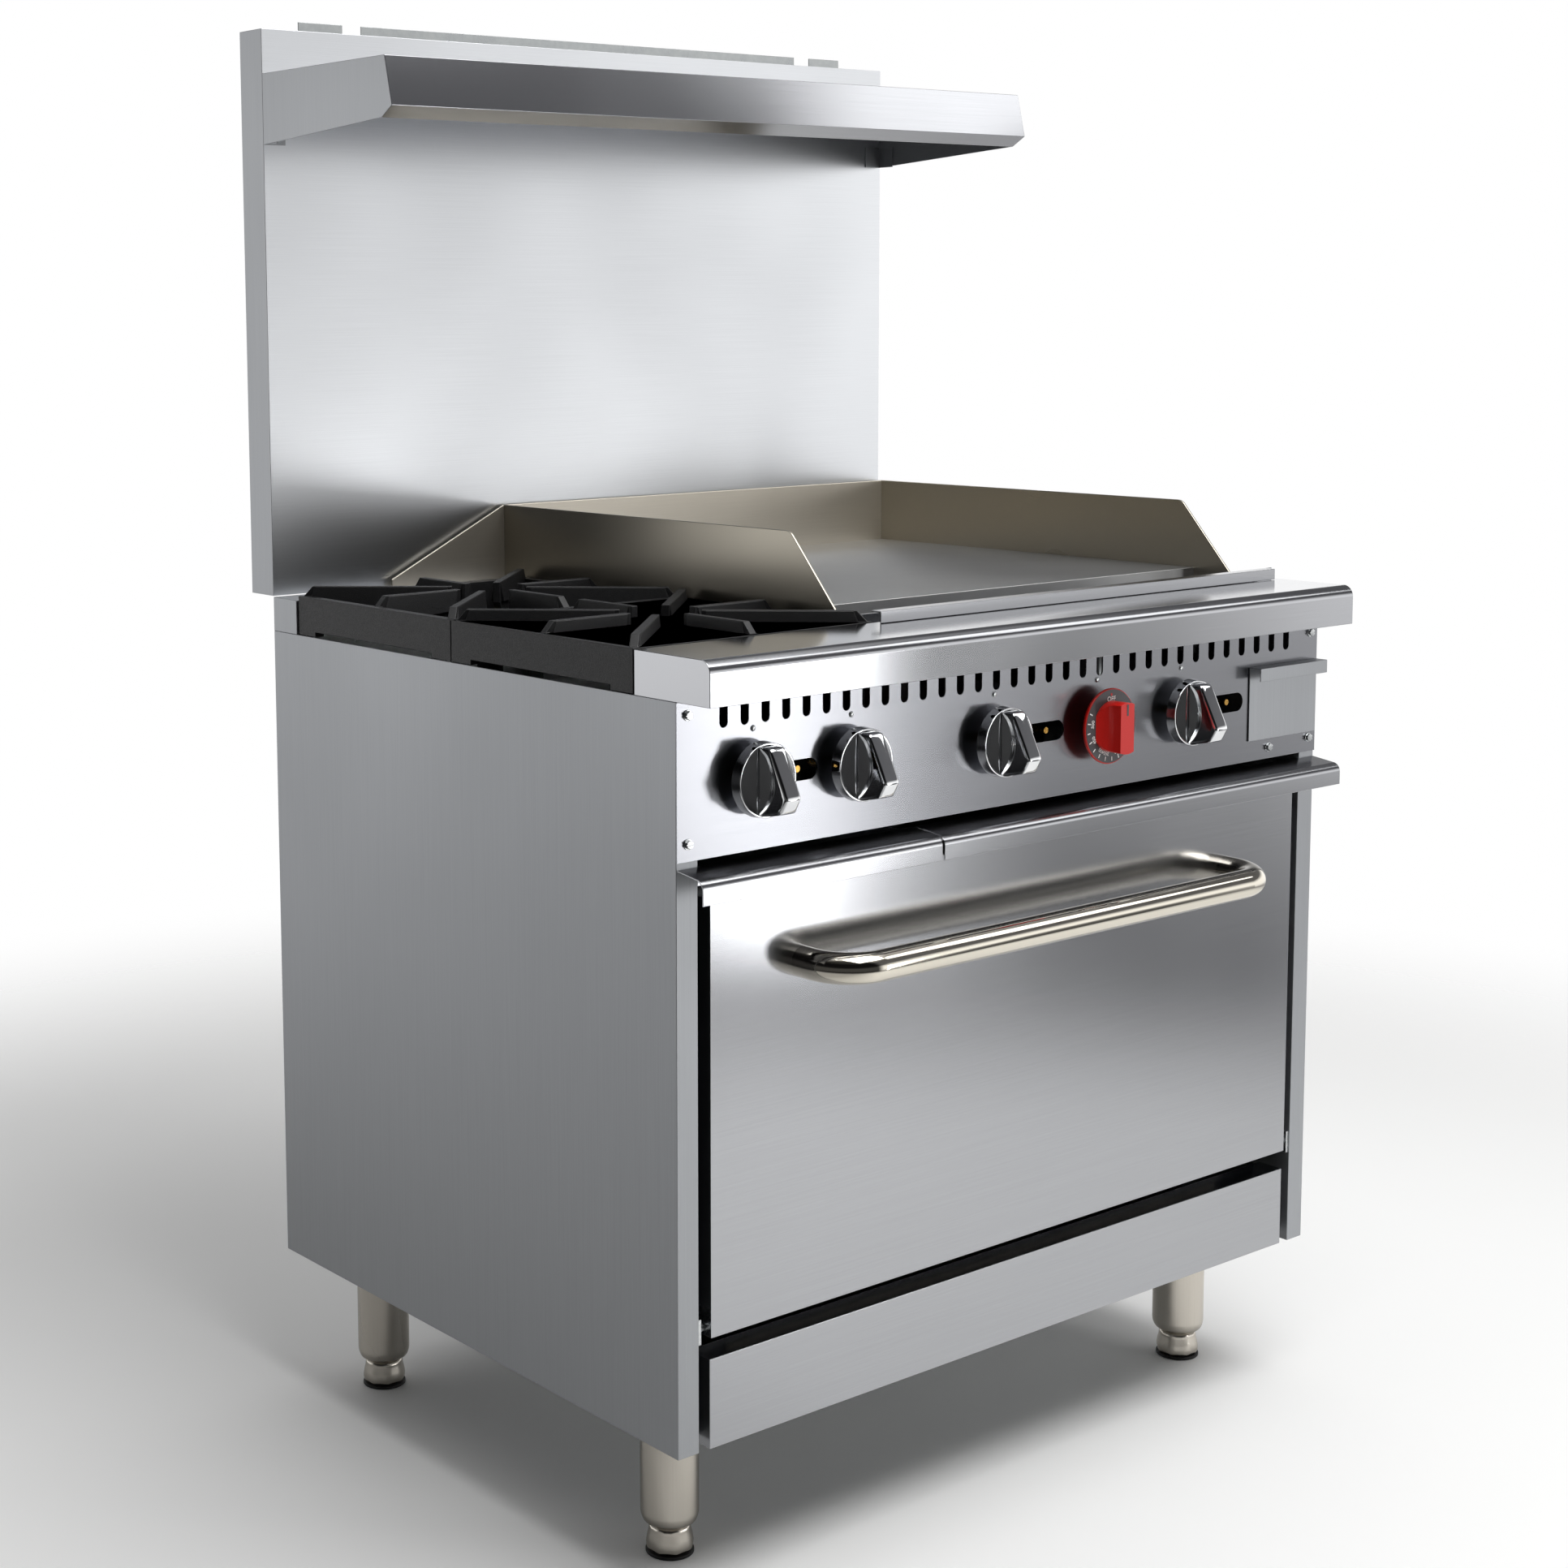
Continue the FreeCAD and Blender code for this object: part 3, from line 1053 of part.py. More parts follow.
def grate_shape(y_low, y_high):
    """Cast grate: a low frame, a notch under each side and eight fingers round the burner."""
    x_low, x_high = size("grate_left"), size("grate_right")
    floor_z = size("top") + size("seat_gap")
    top_z = size("top") + size("grate_height")
    wall, rise, wide = size("grate_wall"), size("finger_rise"), size("finger_width")
    deep, notch = top_z - floor_z, size("grate_notch")
    length, depth = x_high - x_low, y_high - y_low
    middle = FreeCAD.Vector((x_low + x_high) / 2, (y_low + y_high) / 2, 0)
    frame = Part.makeBox(length, depth, deep, FreeCAD.Vector(x_low, y_low, floor_z))
    frame = frame.cut(Part.makeBox(length - 2 * wall, depth - 2 * wall, deep + 2,
                                   FreeCAD.Vector(x_low + wall, y_low + wall, floor_z - 1)))
    margin = 3 * wall
    frame = frame.cut(Part.makeBox(length + 2, depth - 2 * margin, notch + 1,
                                   FreeCAD.Vector(x_low - 1, y_low + margin, floor_z - 1)))
    frame = frame.cut(Part.makeBox(length - 2 * margin, depth + 2, notch + 1,
                                   FreeCAD.Vector(x_low + margin, y_low - 1, floor_z - 1)))
    reach = size("finger_reach")
    pieces = [frame]
    corner = math.degrees(math.atan2(depth, length))
    setback = max(wall, wide * max(depth / length, length / depth)) / 2
    for turn in (0, corner, 90, 180 - corner, 180, 180 + corner, 270, 360 - corner):
        angle = math.radians(turn)
        room = min(length / 2 / max(abs(math.cos(angle)), 1e-6), depth / 2 / max(abs(math.sin(angle)), 1e-6))
        end = room - setback
        profile = [(reach, top_z + rise), (end - rise, top_z + rise), (end, top_z - 1),
                   (end, floor_z + notch + 2), (end - wall, floor_z + notch + 2),
                   (reach + wall, top_z - 2 * wall), (reach, top_z - wall)]
        wire = Part.makePolygon([FreeCAD.Vector(u, -wide / 2, z) for u, z in profile + profile[:1]])
        finger = Part.Face(wire).extrude(FreeCAD.Vector(0, wide, 0))
        finger.rotate(FreeCAD.Vector(), FreeCAD.Vector(0, 0, 1), turn)
        finger.translate(middle)
        pieces.append(finger)
    return pieces[0].multiFuse(pieces[1:]).removeSplitter()


def grate(label, y_low, y_high):
    casting = doc.addObject("Part::Feature", label)
    casting.Shape = grate_shape(y_low, y_high)
    casting.Placement = FreeCAD.Placement()
    return node(label, casting)


grate("front_grate", size("grate_front"), size("grate_middle") - size("seat_gap"))
grate("rear_grate", size("grate_middle") + size("seat_gap"), size("grate_back"))

# ---------------------------------------------------------------- riser and high shelf
riser_z = ("riser_low", "riser_high")
riser_end = "back + riser_depth"
tongue_x = ("-oven_width / 6 - 2 * riser_depth", "oven_width / 6 + 2 * riser_depth")
node("riser_front", cut("riser_front", join("riser_front_blank", [
    block("riser_skin", ("-half", "half"), ("back", "back + riser_sheet"), riser_z),
    block("riser_side_left", ("-half", "-half + riser_sheet"), ("back", riser_end), riser_z),
    block("riser_side_right", ("half - riser_sheet", "half"), ("back", riser_end), riser_z),
    block("riser_tongue", tongue_x, ("back", "back + riser_sheet"),
          ("top - 2.5 * riser_depth", "riser_low + riser_sheet"))]),
    [block("riser_vent", vent_x, ("back - skin", "back + skin"), vent_z)]))

tab_z = ("riser_high - riser_sheet", "riser_high + tab_rise")
back_y = (riser_end + " - riser_sheet", riser_end)
node("riser_back", cut("riser_back", join("riser_back_blank", [
    block("riser_rear_skin", ("-half + riser_sheet", "half - riser_sheet"), back_y, riser_z),
    block("tab_left", ("-0.84 * half", "-0.715 * half"), back_y, tab_z),
    block("tab_middle", ("-0.662 * half", "0.762 * half"), back_y, tab_z),
    block("tab_right", ("0.817 * half", "0.93 * half"), back_y, tab_z),
    block("flue_collar", duct_x, ("back + riser_sheet", riser_end),
          ("top - 2.5 * riser_depth", "riser_low + riser_sheet"))]),
    [block("collar_hollow", vent_x, ("back", riser_end + " - riser_sheet"),
           ("top - 2.5 * riser_depth + skin", "riser_low + 2 * riser_sheet"))]))

nose_y = "shelf_y - shelf_lean"
nose_z = "shelf_z - shelf_front"
shelf_outline = [("back", "shelf_z"), ("shelf_y", "shelf_z"), (nose_y, nose_z),
                 (nose_y + " + shelf_tuck", nose_z + " - shelf_nose"), ("back", "shelf_z - shelf_end_high")]
shelf_hollow = [("back + skin", "shelf_z - skin"), ("shelf_y + skin", "shelf_z - skin"),
                (nose_y + " + skin", nose_z),
                (nose_y + " + shelf_tuck + skin", nose_z + " - shelf_nose + skin"),
                (nose_y + " + shelf_tuck + skin", "shelf_z - shelf_end_high - skin"),
                ("back + skin", "shelf_z - shelf_end_high - skin")]
node("shelf", cut("shelf", prism("shelf_blank", "yz", shelf_outline, ("-half", "half")),
                  [prism("shelf_inside", "yz", shelf_hollow, ("-half + skin", "half - skin"))]))

bracket_z = ("shelf_z - shelf_end_high", "shelf_z - shelf_end_high + bracket_size")


def shelf_bracket(side):
    """Folded angle behind one end of the shelf."""
    sign = "-" if side < 0 else ""
    outer, inner = f"{sign}(half - skin)", f"{sign}(half - skin - bracket_size)"
    flat = tuple(sorted((outer, inner), key=number))
    fold = tuple(sorted((outer, f"{sign}(half - 2 * skin)"), key=number))
    return join(f"shelf_bracket_{side}", [
        block(f"bracket_flat_{side}", flat, ("back - skin", "back"), bracket_z),
        block(f"bracket_fold_{side}", fold, ("back - bracket_size", "back"), bracket_z)])


node("shelf_brackets", together("shelf_brackets", [shelf_bracket(-1), shelf_bracket(1)]))

# ---------------------------------------------------------------- legs and levelling feet
LEG_SPOTS = {"front_left": ("-leg_side", "front + leg_front"),
             "front_right": ("leg_side", "front + leg_front"),
             "rear_left": ("-leg_side", "front + leg_rear"),
             "rear_right": ("leg_side", "front + leg_rear")}


def leg(name, spot):
    """Tube under a bolting plate, with a threaded plug at its lower end."""
    plug_top = "foot_neck + 4 * leg_plate"
    outside = rod(f"leg_{name}_outside", "z", "leg_radius", spot, ("foot_neck", "bottom"))
    inside = rod(f"leg_{name}_inside", "z", "leg_radius - skin", spot, (plug_top, "bottom - leg_plate"))
    bore = rod(f"leg_{name}_bore", "z", "thread_radius + thread_fit", spot,
               ("foot_neck - skin", plug_top + " + skin"))
    return cut(f"leg_{name}_tube", outside, [inside, bore])


def foot(label, spot):
    """Threaded stud with a flared foot and a rubber pad."""
    return node(label, join(label, [
        rod(label + "_stud", "z", "thread_radius", spot, ("pad_thick", "foot_neck + 15 * leg_plate")),
        rod(label + "_neck", "z", "foot_radius - skin", spot, ("foot_neck / 2", "foot_neck - seat_gap")),
        cone(label + "_flare", "foot_radius", "foot_radius - skin", spot, ("pad_thick", "foot_neck / 2")),
        rod(label + "_pad", "z", "foot_radius - skin", spot, ("0", "pad_thick"))]))


node("leg_tubes", together("leg_tubes", [leg(name, spot) for name, spot in LEG_SPOTS.items()]))
for name, spot in LEG_SPOTS.items():
    foot("foot_" + name, spot)

# ---------------------------------------------------------------- check and export
doc.recompute()
faults = [item.Name for item in doc.Objects if {"Invalid", "Error"} & set(item.State)]
faults += [label for label, thing in NODES.items()
           if thing.Shape.isNull() or not thing.Shape.isValid() or thing.Shape.Volume <= 0]
if faults:
    raise RuntimeError("faulty pieces: " + ", ".join(faults))
os.makedirs("parts", exist_ok=True)
for label, thing in NODES.items():
    thing.Shape.exportStep(f"parts/{label}.step")
print(len(NODES), "pieces written")
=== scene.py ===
"""The finished look of a commercial gas range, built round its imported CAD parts."""

import json
import math

import bpy
from mathutils import Matrix, Vector

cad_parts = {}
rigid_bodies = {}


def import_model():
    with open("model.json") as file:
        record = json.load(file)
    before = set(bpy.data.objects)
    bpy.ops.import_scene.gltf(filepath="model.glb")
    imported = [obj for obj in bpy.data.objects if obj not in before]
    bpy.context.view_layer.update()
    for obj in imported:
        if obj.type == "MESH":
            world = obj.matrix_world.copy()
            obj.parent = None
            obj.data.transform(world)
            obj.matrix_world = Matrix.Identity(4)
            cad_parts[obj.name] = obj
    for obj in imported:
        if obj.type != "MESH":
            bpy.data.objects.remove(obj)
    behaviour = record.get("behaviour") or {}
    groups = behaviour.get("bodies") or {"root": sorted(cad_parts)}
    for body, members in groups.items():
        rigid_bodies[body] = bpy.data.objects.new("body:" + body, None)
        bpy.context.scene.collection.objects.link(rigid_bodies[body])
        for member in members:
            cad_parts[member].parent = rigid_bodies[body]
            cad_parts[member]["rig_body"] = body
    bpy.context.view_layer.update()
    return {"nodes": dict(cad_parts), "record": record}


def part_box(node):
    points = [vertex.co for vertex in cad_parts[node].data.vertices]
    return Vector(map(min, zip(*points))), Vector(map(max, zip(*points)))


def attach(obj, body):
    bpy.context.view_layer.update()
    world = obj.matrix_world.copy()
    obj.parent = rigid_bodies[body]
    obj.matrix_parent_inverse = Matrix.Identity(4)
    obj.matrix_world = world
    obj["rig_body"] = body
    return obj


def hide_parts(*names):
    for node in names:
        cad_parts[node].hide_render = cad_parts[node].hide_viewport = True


MM = 0.001
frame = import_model()
NODES = frame["nodes"]
SLOT_OF = {part["node"]: part["material_slot"] for part in frame["record"]["subparts"]}


# ---------------------------------------------------------------- small helpers
def linear(colour):
    """An sRGB hex colour as linear RGBA."""
    parts = [int(colour[i:i + 2], 16) / 255 for i in (1, 3, 5)]
    return [c / 12.92 if c <= 0.04045 else ((c + 0.055) / 1.055) ** 2.4 for c in parts] + [1.0]


def add_node(tree, kind, inputs=None, stops=None, **settings):
    """Add a node with its settings, its input values or links, and its colour stops."""
    made = tree.nodes.new(kind)
    for name, value in settings.items():
        setattr(made, name, value)
    for name, value in (inputs or {}).items():
        if isinstance(value, bpy.types.NodeSocket):
            tree.links.new(value, made.inputs[name])
        else:
            made.inputs[name].default_value = value
    if stops:
        elements = made.color_ramp.elements
        while len(elements) < len(stops):
            elements.new(1.0)
        for element, (place, colour) in zip(elements, stops):
            element.position = place
            element.color = linear(colour)
    return made


def new_material(name, colour, metallic, roughness):
    """A material with its shader's plain values; returns it with its node tree and shader."""
    material = bpy.data.materials.new(name)
    material.use_nodes = True
    tree = material.node_tree
    shader = tree.nodes["Principled BSDF"]
    shader.inputs["Base Color"].default_value = linear(colour)
    shader.inputs["Metallic"].default_value = metallic
    shader.inputs["Roughness"].default_value = roughness
    return material, tree, shader


# ---------------------------------------------------------------- materials
LINE_LENGTH, HAZE_SIZE = 140, 260      # of the brushing's lines and of the cloudy patches, in mm
SCRATCH_DEPTH = 0.05                   # of one brushed line, in mm
LINE_TINT = 5                          # how much paler a line is than the sheet, out of 255


def brushed_stainless(name, colour, along, rough=(0.24, 0.30), grain_mm=0.6, bump=0.03, stretch=0.55):
    """Stainless sheet, brushed by a belt: long fine lines that stretch every highlight across them."""
    material, tree, shader = new_material(name, colour, 1.0, 0.28)
    where = add_node(tree, "ShaderNodeTexCoord")
    fine = [1 / (grain_mm * MM)] * 3
    fine["xyz".index(along)] = 1 / (LINE_LENGTH * MM)
    lines_at = add_node(tree, "ShaderNodeMapping", {"Vector": where.outputs["Object"], "Scale": fine})
    lines = add_node(tree, "ShaderNodeTexNoise", {
        "Vector": lines_at.outputs["Vector"], "Scale": 1.0, "Detail": 3.0, "Roughness": 0.6})
    haze = add_node(tree, "ShaderNodeTexNoise", {
        "Vector": where.outputs["Object"], "Scale": 1 / (HAZE_SIZE * MM), "Detail": 1.0})
    gloss = add_node(tree, "ShaderNodeMapRange", {
        "Value": haze.outputs["Fac"], "From Min": 0.3, "From Max": 0.7,
        "To Min": rough[0], "To Max": rough[1]})
    tree.links.new(gloss.outputs["Result"], shader.inputs["Roughness"])
    pale = [int(colour[i:i + 2], 16) + LINE_TINT for i in (1, 3, 5)]
    tint = add_node(tree, "ShaderNodeValToRGB", {"Fac": lines.outputs["Fac"]},
                    [(0.35, colour), (0.65, "#%02x%02x%02x" % tuple(pale))])
    tree.links.new(tint.outputs["Color"], shader.inputs["Base Color"])
    if bump:
        relief = add_node(tree, "ShaderNodeBump", {
            "Height": lines.outputs["Fac"], "Strength": bump, "Distance": SCRATCH_DEPTH * MM})
        tree.links.new(relief.outputs["Normal"], shader.inputs["Normal"])
    way = add_node(tree, "ShaderNodeTangent", direction_type="UV_MAP")
    tree.links.new(way.outputs["Tangent"], shader.inputs["Tangent"])
    shader.inputs["Anisotropic"].default_value = stretch
    return material


def speckled(name, colour, second, metallic, rough, grain_mm, bump, depth_mm, gloss_spread=0.1):
    """A finish with grains of one size: casting skin, enamel, galvanising, wool or rubber."""
    material, tree, shader = new_material(name, colour, metallic, rough)
    where = add_node(tree, "ShaderNodeTexCoord")
    grains = add_node(tree, "ShaderNodeTexNoise", {
        "Vector": where.outputs["Object"], "Scale": 1 / (grain_mm * MM), "Detail": 3.0, "Roughness": 0.6})
    tint = add_node(tree, "ShaderNodeValToRGB", {"Fac": grains.outputs["Fac"]},
                    [(0.35, colour), (0.65, second)])
    tree.links.new(tint.outputs["Color"], shader.inputs["Base Color"])
    gloss = add_node(tree, "ShaderNodeMapRange", {
        "Value": grains.outputs["Fac"], "From Min": 0.3, "From Max": 0.7,
        "To Min": rough - gloss_spread, "To Max": rough + gloss_spread})
    tree.links.new(gloss.outputs["Result"], shader.inputs["Roughness"])
    relief = add_node(tree, "ShaderNodeBump", {
        "Height": grains.outputs["Fac"], "Strength": bump, "Distance": depth_mm * MM})
    tree.links.new(relief.outputs["Normal"], shader.inputs["Normal"])
    return material


# door, trays and kick panel: mid grey, with soft bands of light that run sideways
STAINLESS_FRONT = brushed_stainless("stainless_brushed_across", "#a9aaad", "x", (0.17, 0.20), bump=0)
# control panel: the same brushing with a darker colour, painted shade for the shadow under the ledge, so that
# the chrome knobs stand out
PANEL_STEEL_PAINTED_SHADE = brushed_stainless("stainless_control_panel_painted_shade", "#8e8f93", "x", (0.19, 0.22), bump=0)
# riser: paler than the other stainless, painted light, so that its broad gloss is nearly white under the
# shelf
STAINLESS_RISER_PAINTED_LIGHT = brushed_stainless("stainless_riser_painted_light", "#dfe1e4", "x", (0.30, 0.36))
# sides, rail and drawer: dull, with upright grain, so it mirrors only a haze
STAINLESS_SIDE = brushed_stainless("stainless_brushed_upright", "#a3a5a8", "z", (0.42, 0.46), stretch=0.2)
# ledge and shelf: almost a mirror along the brushing
STAINLESS_BRIGHT = brushed_stainless("stainless_polished_sheet", "#aeafb2", "x", (0.12, 0.16), 0.5, 0.02)
# door handle: a warm polished tube with sharp streaks of light
STAINLESS_TUBE = brushed_stainless("stainless_polished_tube", "#d6d0c3", "x", (0.06, 0.09), 0.5, 0.01, 0.2)
# griddle guard: satin, with a slightly warm tint
GUARD_STEEL = brushed_stainless("guard_stainless_satin", "#b0aa9d", "x", (0.26, 0.34))
# inner face of the guard's back: duller, so that it takes the light from above, with a paler colour as
# painted light
GUARD_BACK_PAINTED_LIGHT = brushed_stainless("guard_back_satin_painted_light", "#dcd5c8", "x", (0.42, 0.50), stretch=0.3)
# griddle plate: coarse ground lines and a dull sheen
GRIDDLE_STEEL = brushed_stainless("griddle_ground_plate", "#b9b9b8", "x", (0.36, 0.44), 0.9, 0.08)
# legs and feet: satin tube with one soft upright streak
LEG_STEEL = brushed_stainless("leg_satin_tube", "#c6c0b6", "z", (0.24, 0.30), stretch=0.4)
# back of the riser and hidden sheet: plain grey with large faint patches
GALVANISED = speckled("galvanised_sheet", "#a4a7a8", "#b1b4b4", 1.0, 0.30, 14, 0.01, 0.05, 0.03)
# grates: black and grainy, with small broken highlights
CAST_IRON = speckled("cast_iron_black_enamel", "#070708", "#161618", 0.0, 0.5, 0.9, 0.6, 0.5, 0.16)
# oven lining: a deep blue-black with a wet gloss
ENAMEL_BLACK = speckled("oven_porcelain_enamel", "#14151a", "#1b1c22", 0.0, 0.2, 3, 0.03, 0.1, 0.05)
# burner knobs: a sharp mirror
CHROME = speckled("chrome_plate", "#dfe0e2", "#e6e7e8", 1.0, 0.05, 30, 0.0, 0.1, 0.01)
# thermostat knob: strong red with a soft sheen
RED_PLASTIC = speckled("red_phenolic_moulding", "#c8150c", "#d11a10", 0.0, 0.32, 0.8, 0.03, 0.05, 0.05)
# valves and fittings: warm yellow metal
BRASS = speckled("turned_brass", "#b58b45", "#caa055", 1.0, 0.28, 2, 0.05, 0.1)
# gas manifold: near black and rough
BLACK_PIPE = speckled("black_gas_pipe", "#131313", "#1e1d1c", 0.0, 0.5, 2, 0.2, 0.2)
# screws, rivets and studs: light grey metal, a little mottled
ZINC_STEEL = speckled("zinc_plated_steel", "#b9bcbd", "#d2d4d4", 1.0, 0.26, 4, 0.05, 0.1, 0.06)
# oven rack: thin bright highlights
WIRE = speckled("plated_wire", "#c3c3c1", "#d6d6d4", 1.0, 0.18, 6, 0.02, 0.1, 0.04)
# insulation: matt yellow-brown fibres
WOOL = speckled("mineral_wool", "#a99a63", "#cdbf8a", 0.0, 0.9, 3, 0.9, 2.0, 0.05)
# door seal: a dull woven rope
GASKET = speckled("woven_glass_rope", "#4a463f", "#7a746a", 0.0, 0.85, 1.4, 0.8, 0.6, 0.05)
# foot pads: matt black
RUBBER = speckled("moulded_rubber", "#0b0b0b", "#151515", 0.0, 0.6, 1, 0.15, 0.1, 0.05)

# ring and pointer of the dial: dark satin grey
DIAL_GREY = speckled("dial_satin_plate", "#454547", "#4c4c4e", 0.3, 0.38, 0.6, 0.05, 0.03, 0.05)
# ticks and lettering of the dial: flat white
WHITE_INK = speckled("white_screen_ink", "#f2f2f0", "#e9e9e6", 0.0, 0.5, 0.5, 0.02, 0.02, 0.05)

# the material of each CAD piece that stays as it is, by its slot
BY_SLOT = {
    "stainless": STAINLESS_FRONT, "stainless_bright": STAINLESS_TUBE, "galvanised": GALVANISED,
    "enamel_black": ENAMEL_BLACK, "cast_iron": CAST_IRON, "griddle_steel": GRIDDLE_STEEL, "chrome": CHROME,
    "red_plastic": RED_PLASTIC, "brass": BRASS, "black_pipe": BLACK_PIPE, "zinc_steel": ZINC_STEEL,
    "wire": WIRE, "wool": WOOL, "gasket": GASKET, "rubber": RUBBER,
}


def coat(thing, material):
    """Give a piece one material all over."""
    thing.data.materials.clear()
    thing.data.materials.append(material)


for name, thing in NODES.items():
    coat(thing, BY_SLOT[SLOT_OF[name]])


# ---------------------------------------------------------------- modelling tools
def pick(thing):
    """Leave only this piece selected."""
    bpy.ops.object.select_all(action="DESELECT")
    thing.select_set(True)
    bpy.context.view_layer.objects.active = thing


def modify(thing, kind, **settings):
    """Add a modifier, set it and apply it."""
    pick(thing)
    made = thing.modifiers.new(kind.lower(), kind)
    for name, value in settings.items():
        setattr(made, name, value)
    bpy.ops.object.modifier_apply(modifier=made.name)


def wrap(thing):
    """A box-projected UV map, whose U runs along the brushing."""
    pick(thing)
    bpy.ops.object.mode_set(mode="EDIT")
    bpy.ops.mesh.select_all(action="SELECT")
    bpy.ops.uv.cube_project(cube_size=1.0)
    bpy.ops.object.mode_set(mode="OBJECT")


def dress(thing, node, material, angle=35):
    """Smooth shading, a material and the body of the CAD node that the piece stands for; the CAD piece itself
    is hidden.
    """
    pick(thing)
    bpy.ops.object.shade_smooth_by_angle(angle=math.radians(angle))
    coat(thing, material)
    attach(thing, NODES[node]["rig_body"])
    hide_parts(node)
    modify(thing, "WEIGHTED_NORMAL", keep_sharp=True, weight=100)
    return thing


def folded_sheet(node, edge_mm, material):
    """A CAD sheet piece with its corners taken off, so that every fold catches the light."""
    mesh = NODES[node].data.copy()
    thing = bpy.data.objects.new(node + "_folded", mesh)
    bpy.context.scene.collection.objects.link(thing)
    pick(thing)
    bpy.ops.object.mode_set(mode="EDIT")
    bpy.ops.mesh.select_all(action="SELECT")
    bpy.ops.mesh.remove_doubles(threshold=0.01 * MM)
    bpy.ops.mesh.dissolve_limited(angle_limit=math.radians(1))
    bpy.ops.object.mode_set(mode="OBJECT")
    modify(thing, "BEVEL", width=edge_mm * MM, segments=2, limit_method="ANGLE",
           angle_limit=math.radians(40), use_clamp_overlap=True)
    wrap(thing)
    return dress(thing, node, material)


def finish_or_painted_light_faces(thing, material, test):
    """A second finish, or painted light, on the faces whose normal passes a test."""
    thing.data.materials.append(material)
    for face in thing.data.polygons:
        if test(face.normal):
            face.material_index = 1


# how far each folded or cast piece's edges are taken off, in mm, and its finish; the control panel's carries
# painted shade, the riser's painted light
SHEETS = {
    "left_side_panel": (0.6, STAINLESS_SIDE), "right_side_panel": (0.6, STAINLESS_SIDE),
    "kick_panel": (0.6, STAINLESS_FRONT), "door_outer_panel": (0.5, STAINLESS_FRONT),
    "control_panel": (0.4, PANEL_STEEL_PAINTED_SHADE), "front_ledge": (0.6, STAINLESS_BRIGHT),
    "rear_rail": (0.6, STAINLESS_SIDE), "drip_tray_left": (0.4, STAINLESS_FRONT),
    "drip_tray_right": (0.4, STAINLESS_FRONT), "grease_drawer": (0.4, STAINLESS_SIDE),
    "griddle_splash_guard": (0.8, GUARD_STEEL), "griddle_trough": (0.5, STAINLESS_FRONT),
    "griddle_plate": (0.8, GRIDDLE_STEEL), "riser_front": (0.4, STAINLESS_RISER_PAINTED_LIGHT),
    "riser_back": (0.4, GALVANISED), "shelf": (0.5, STAINLESS_BRIGHT),
    "shelf_brackets": (0.4, STAINLESS_SIDE),
    "front_grate": (1.2, CAST_IRON), "rear_grate": (1.2, CAST_IRON),
}
for name, (edge, finish) in SHEETS.items():
    sheet = folded_sheet(name, edge, finish)
    if name in ("riser_front", "shelf"):
        finish_or_painted_light_faces(sheet, STAINLESS_SIDE, lambda normal: abs(normal.x) > 0.9)
    elif name == "griddle_splash_guard":
        # painted light: the guard's faces that look to the front are given the paler colour
        finish_or_painted_light_faces(sheet, GUARD_BACK_PAINTED_LIGHT, lambda normal: normal.y < -0.9)


# ---------------------------------------------------------------- hand-modelled pieces
def primitive(kind, name, place=(0, 0, 0), **settings):
    """Add one primitive, with everything else deselected, and put its place into its mesh."""
    bpy.ops.object.select_all(action="DESELECT")
    getattr(bpy.ops.mesh, f"primitive_{kind}_add")(location=place, **settings)
    thing = bpy.context.object
    thing.name = name
    bpy.ops.object.transform_apply(location=True, rotation=True, scale=True)
    return thing


def choose(thing, test, mode="VERT"):
    """Go into edit mode with only the points that pass a test selected."""
    if bpy.context.object and bpy.context.object.mode == "EDIT":
        bpy.ops.object.mode_set(mode="OBJECT")
    pick(thing)
    bpy.ops.object.mode_set(mode="EDIT")
    bpy.ops.mesh.select_mode(type=mode)
    bpy.ops.mesh.select_all(action="DESELECT")
    bpy.ops.object.mode_set(mode="OBJECT")
    group = thing.data.vertices if mode == "VERT" else thing.data.polygons
    for item in group:
        item.select = test(item.co if mode == "VERT" else item)
    bpy.ops.object.mode_set(mode="EDIT")


def done():
    bpy.ops.object.mode_set(mode="OBJECT")


def shift(thing, test, by):
    """Move the points that pass a test."""
    choose(thing, test)
    bpy.ops.transform.translate(value=by)
    done()


def widen(thing, test, by, about):
    """Scale the points that pass a test about one centre."""
    choose(thing, test)
    bpy.ops.transform.resize(value=by, center_override=about)
    done()


def slice_across(thing, place, normal):
    """Cut a loop of edges right round a piece."""
    choose(thing, lambda co: True)
    bpy.ops.mesh.bisect(plane_co=place, plane_no=normal)
    done()


def round_edges(thing, width_mm, segments=3, angle=30):
    modify(thing, "BEVEL", width=width_mm * MM, segments=segments, limit_method="ANGLE",
           angle_limit=math.radians(angle))


def merge(name, things):
    """Join finished meshes into one piece."""
    bpy.ops.object.select_all(action="DESELECT")
    for thing in things:
        thing.select_set(True)
    bpy.context.view_layer.objects.active = things[0]
    bpy.ops.object.join()
    things[0].name = name
    return things[0]


def twin(thing, name, offset):
    """A copy with its own mesh, moved by an offset."""
    other = thing.copy()
    other.data = thing.data.copy()
    other.name = name
    other.data.transform(Matrix.Translation(offset))
    bpy.context.scene.collection.objects.link(other)
    return other


def middle(node):
    low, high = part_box(node)
    return (low + high) / 2


UPRIGHT = (math.radians(90), 0, 0)     # turns a cylinder so that it lies along Y


def front_disc(name, radius_mm, back_mm, front_mm, place=(0, 0), vertices=64):
    """A disc that faces the front, between two depths."""
    return primitive("cylinder", name, (place[0] * MM, (back_mm + front_mm) / 2 * MM, place[1] * MM),
                     vertices=vertices, radius=radius_mm * MM, depth=abs(front_mm - back_mm) * MM,
                     rotation=UPRIGHT)


def bar(name, x, y, z):
    """A block between limits in millimetres, as the start of a shaped piece."""
    place = [sum(pair) / 2 * MM for pair in (x, y, z)]
    return primitive("cube", name, place, size=1, scale=[abs(p[1] - p[0]) * MM for p in (x, y, z)])


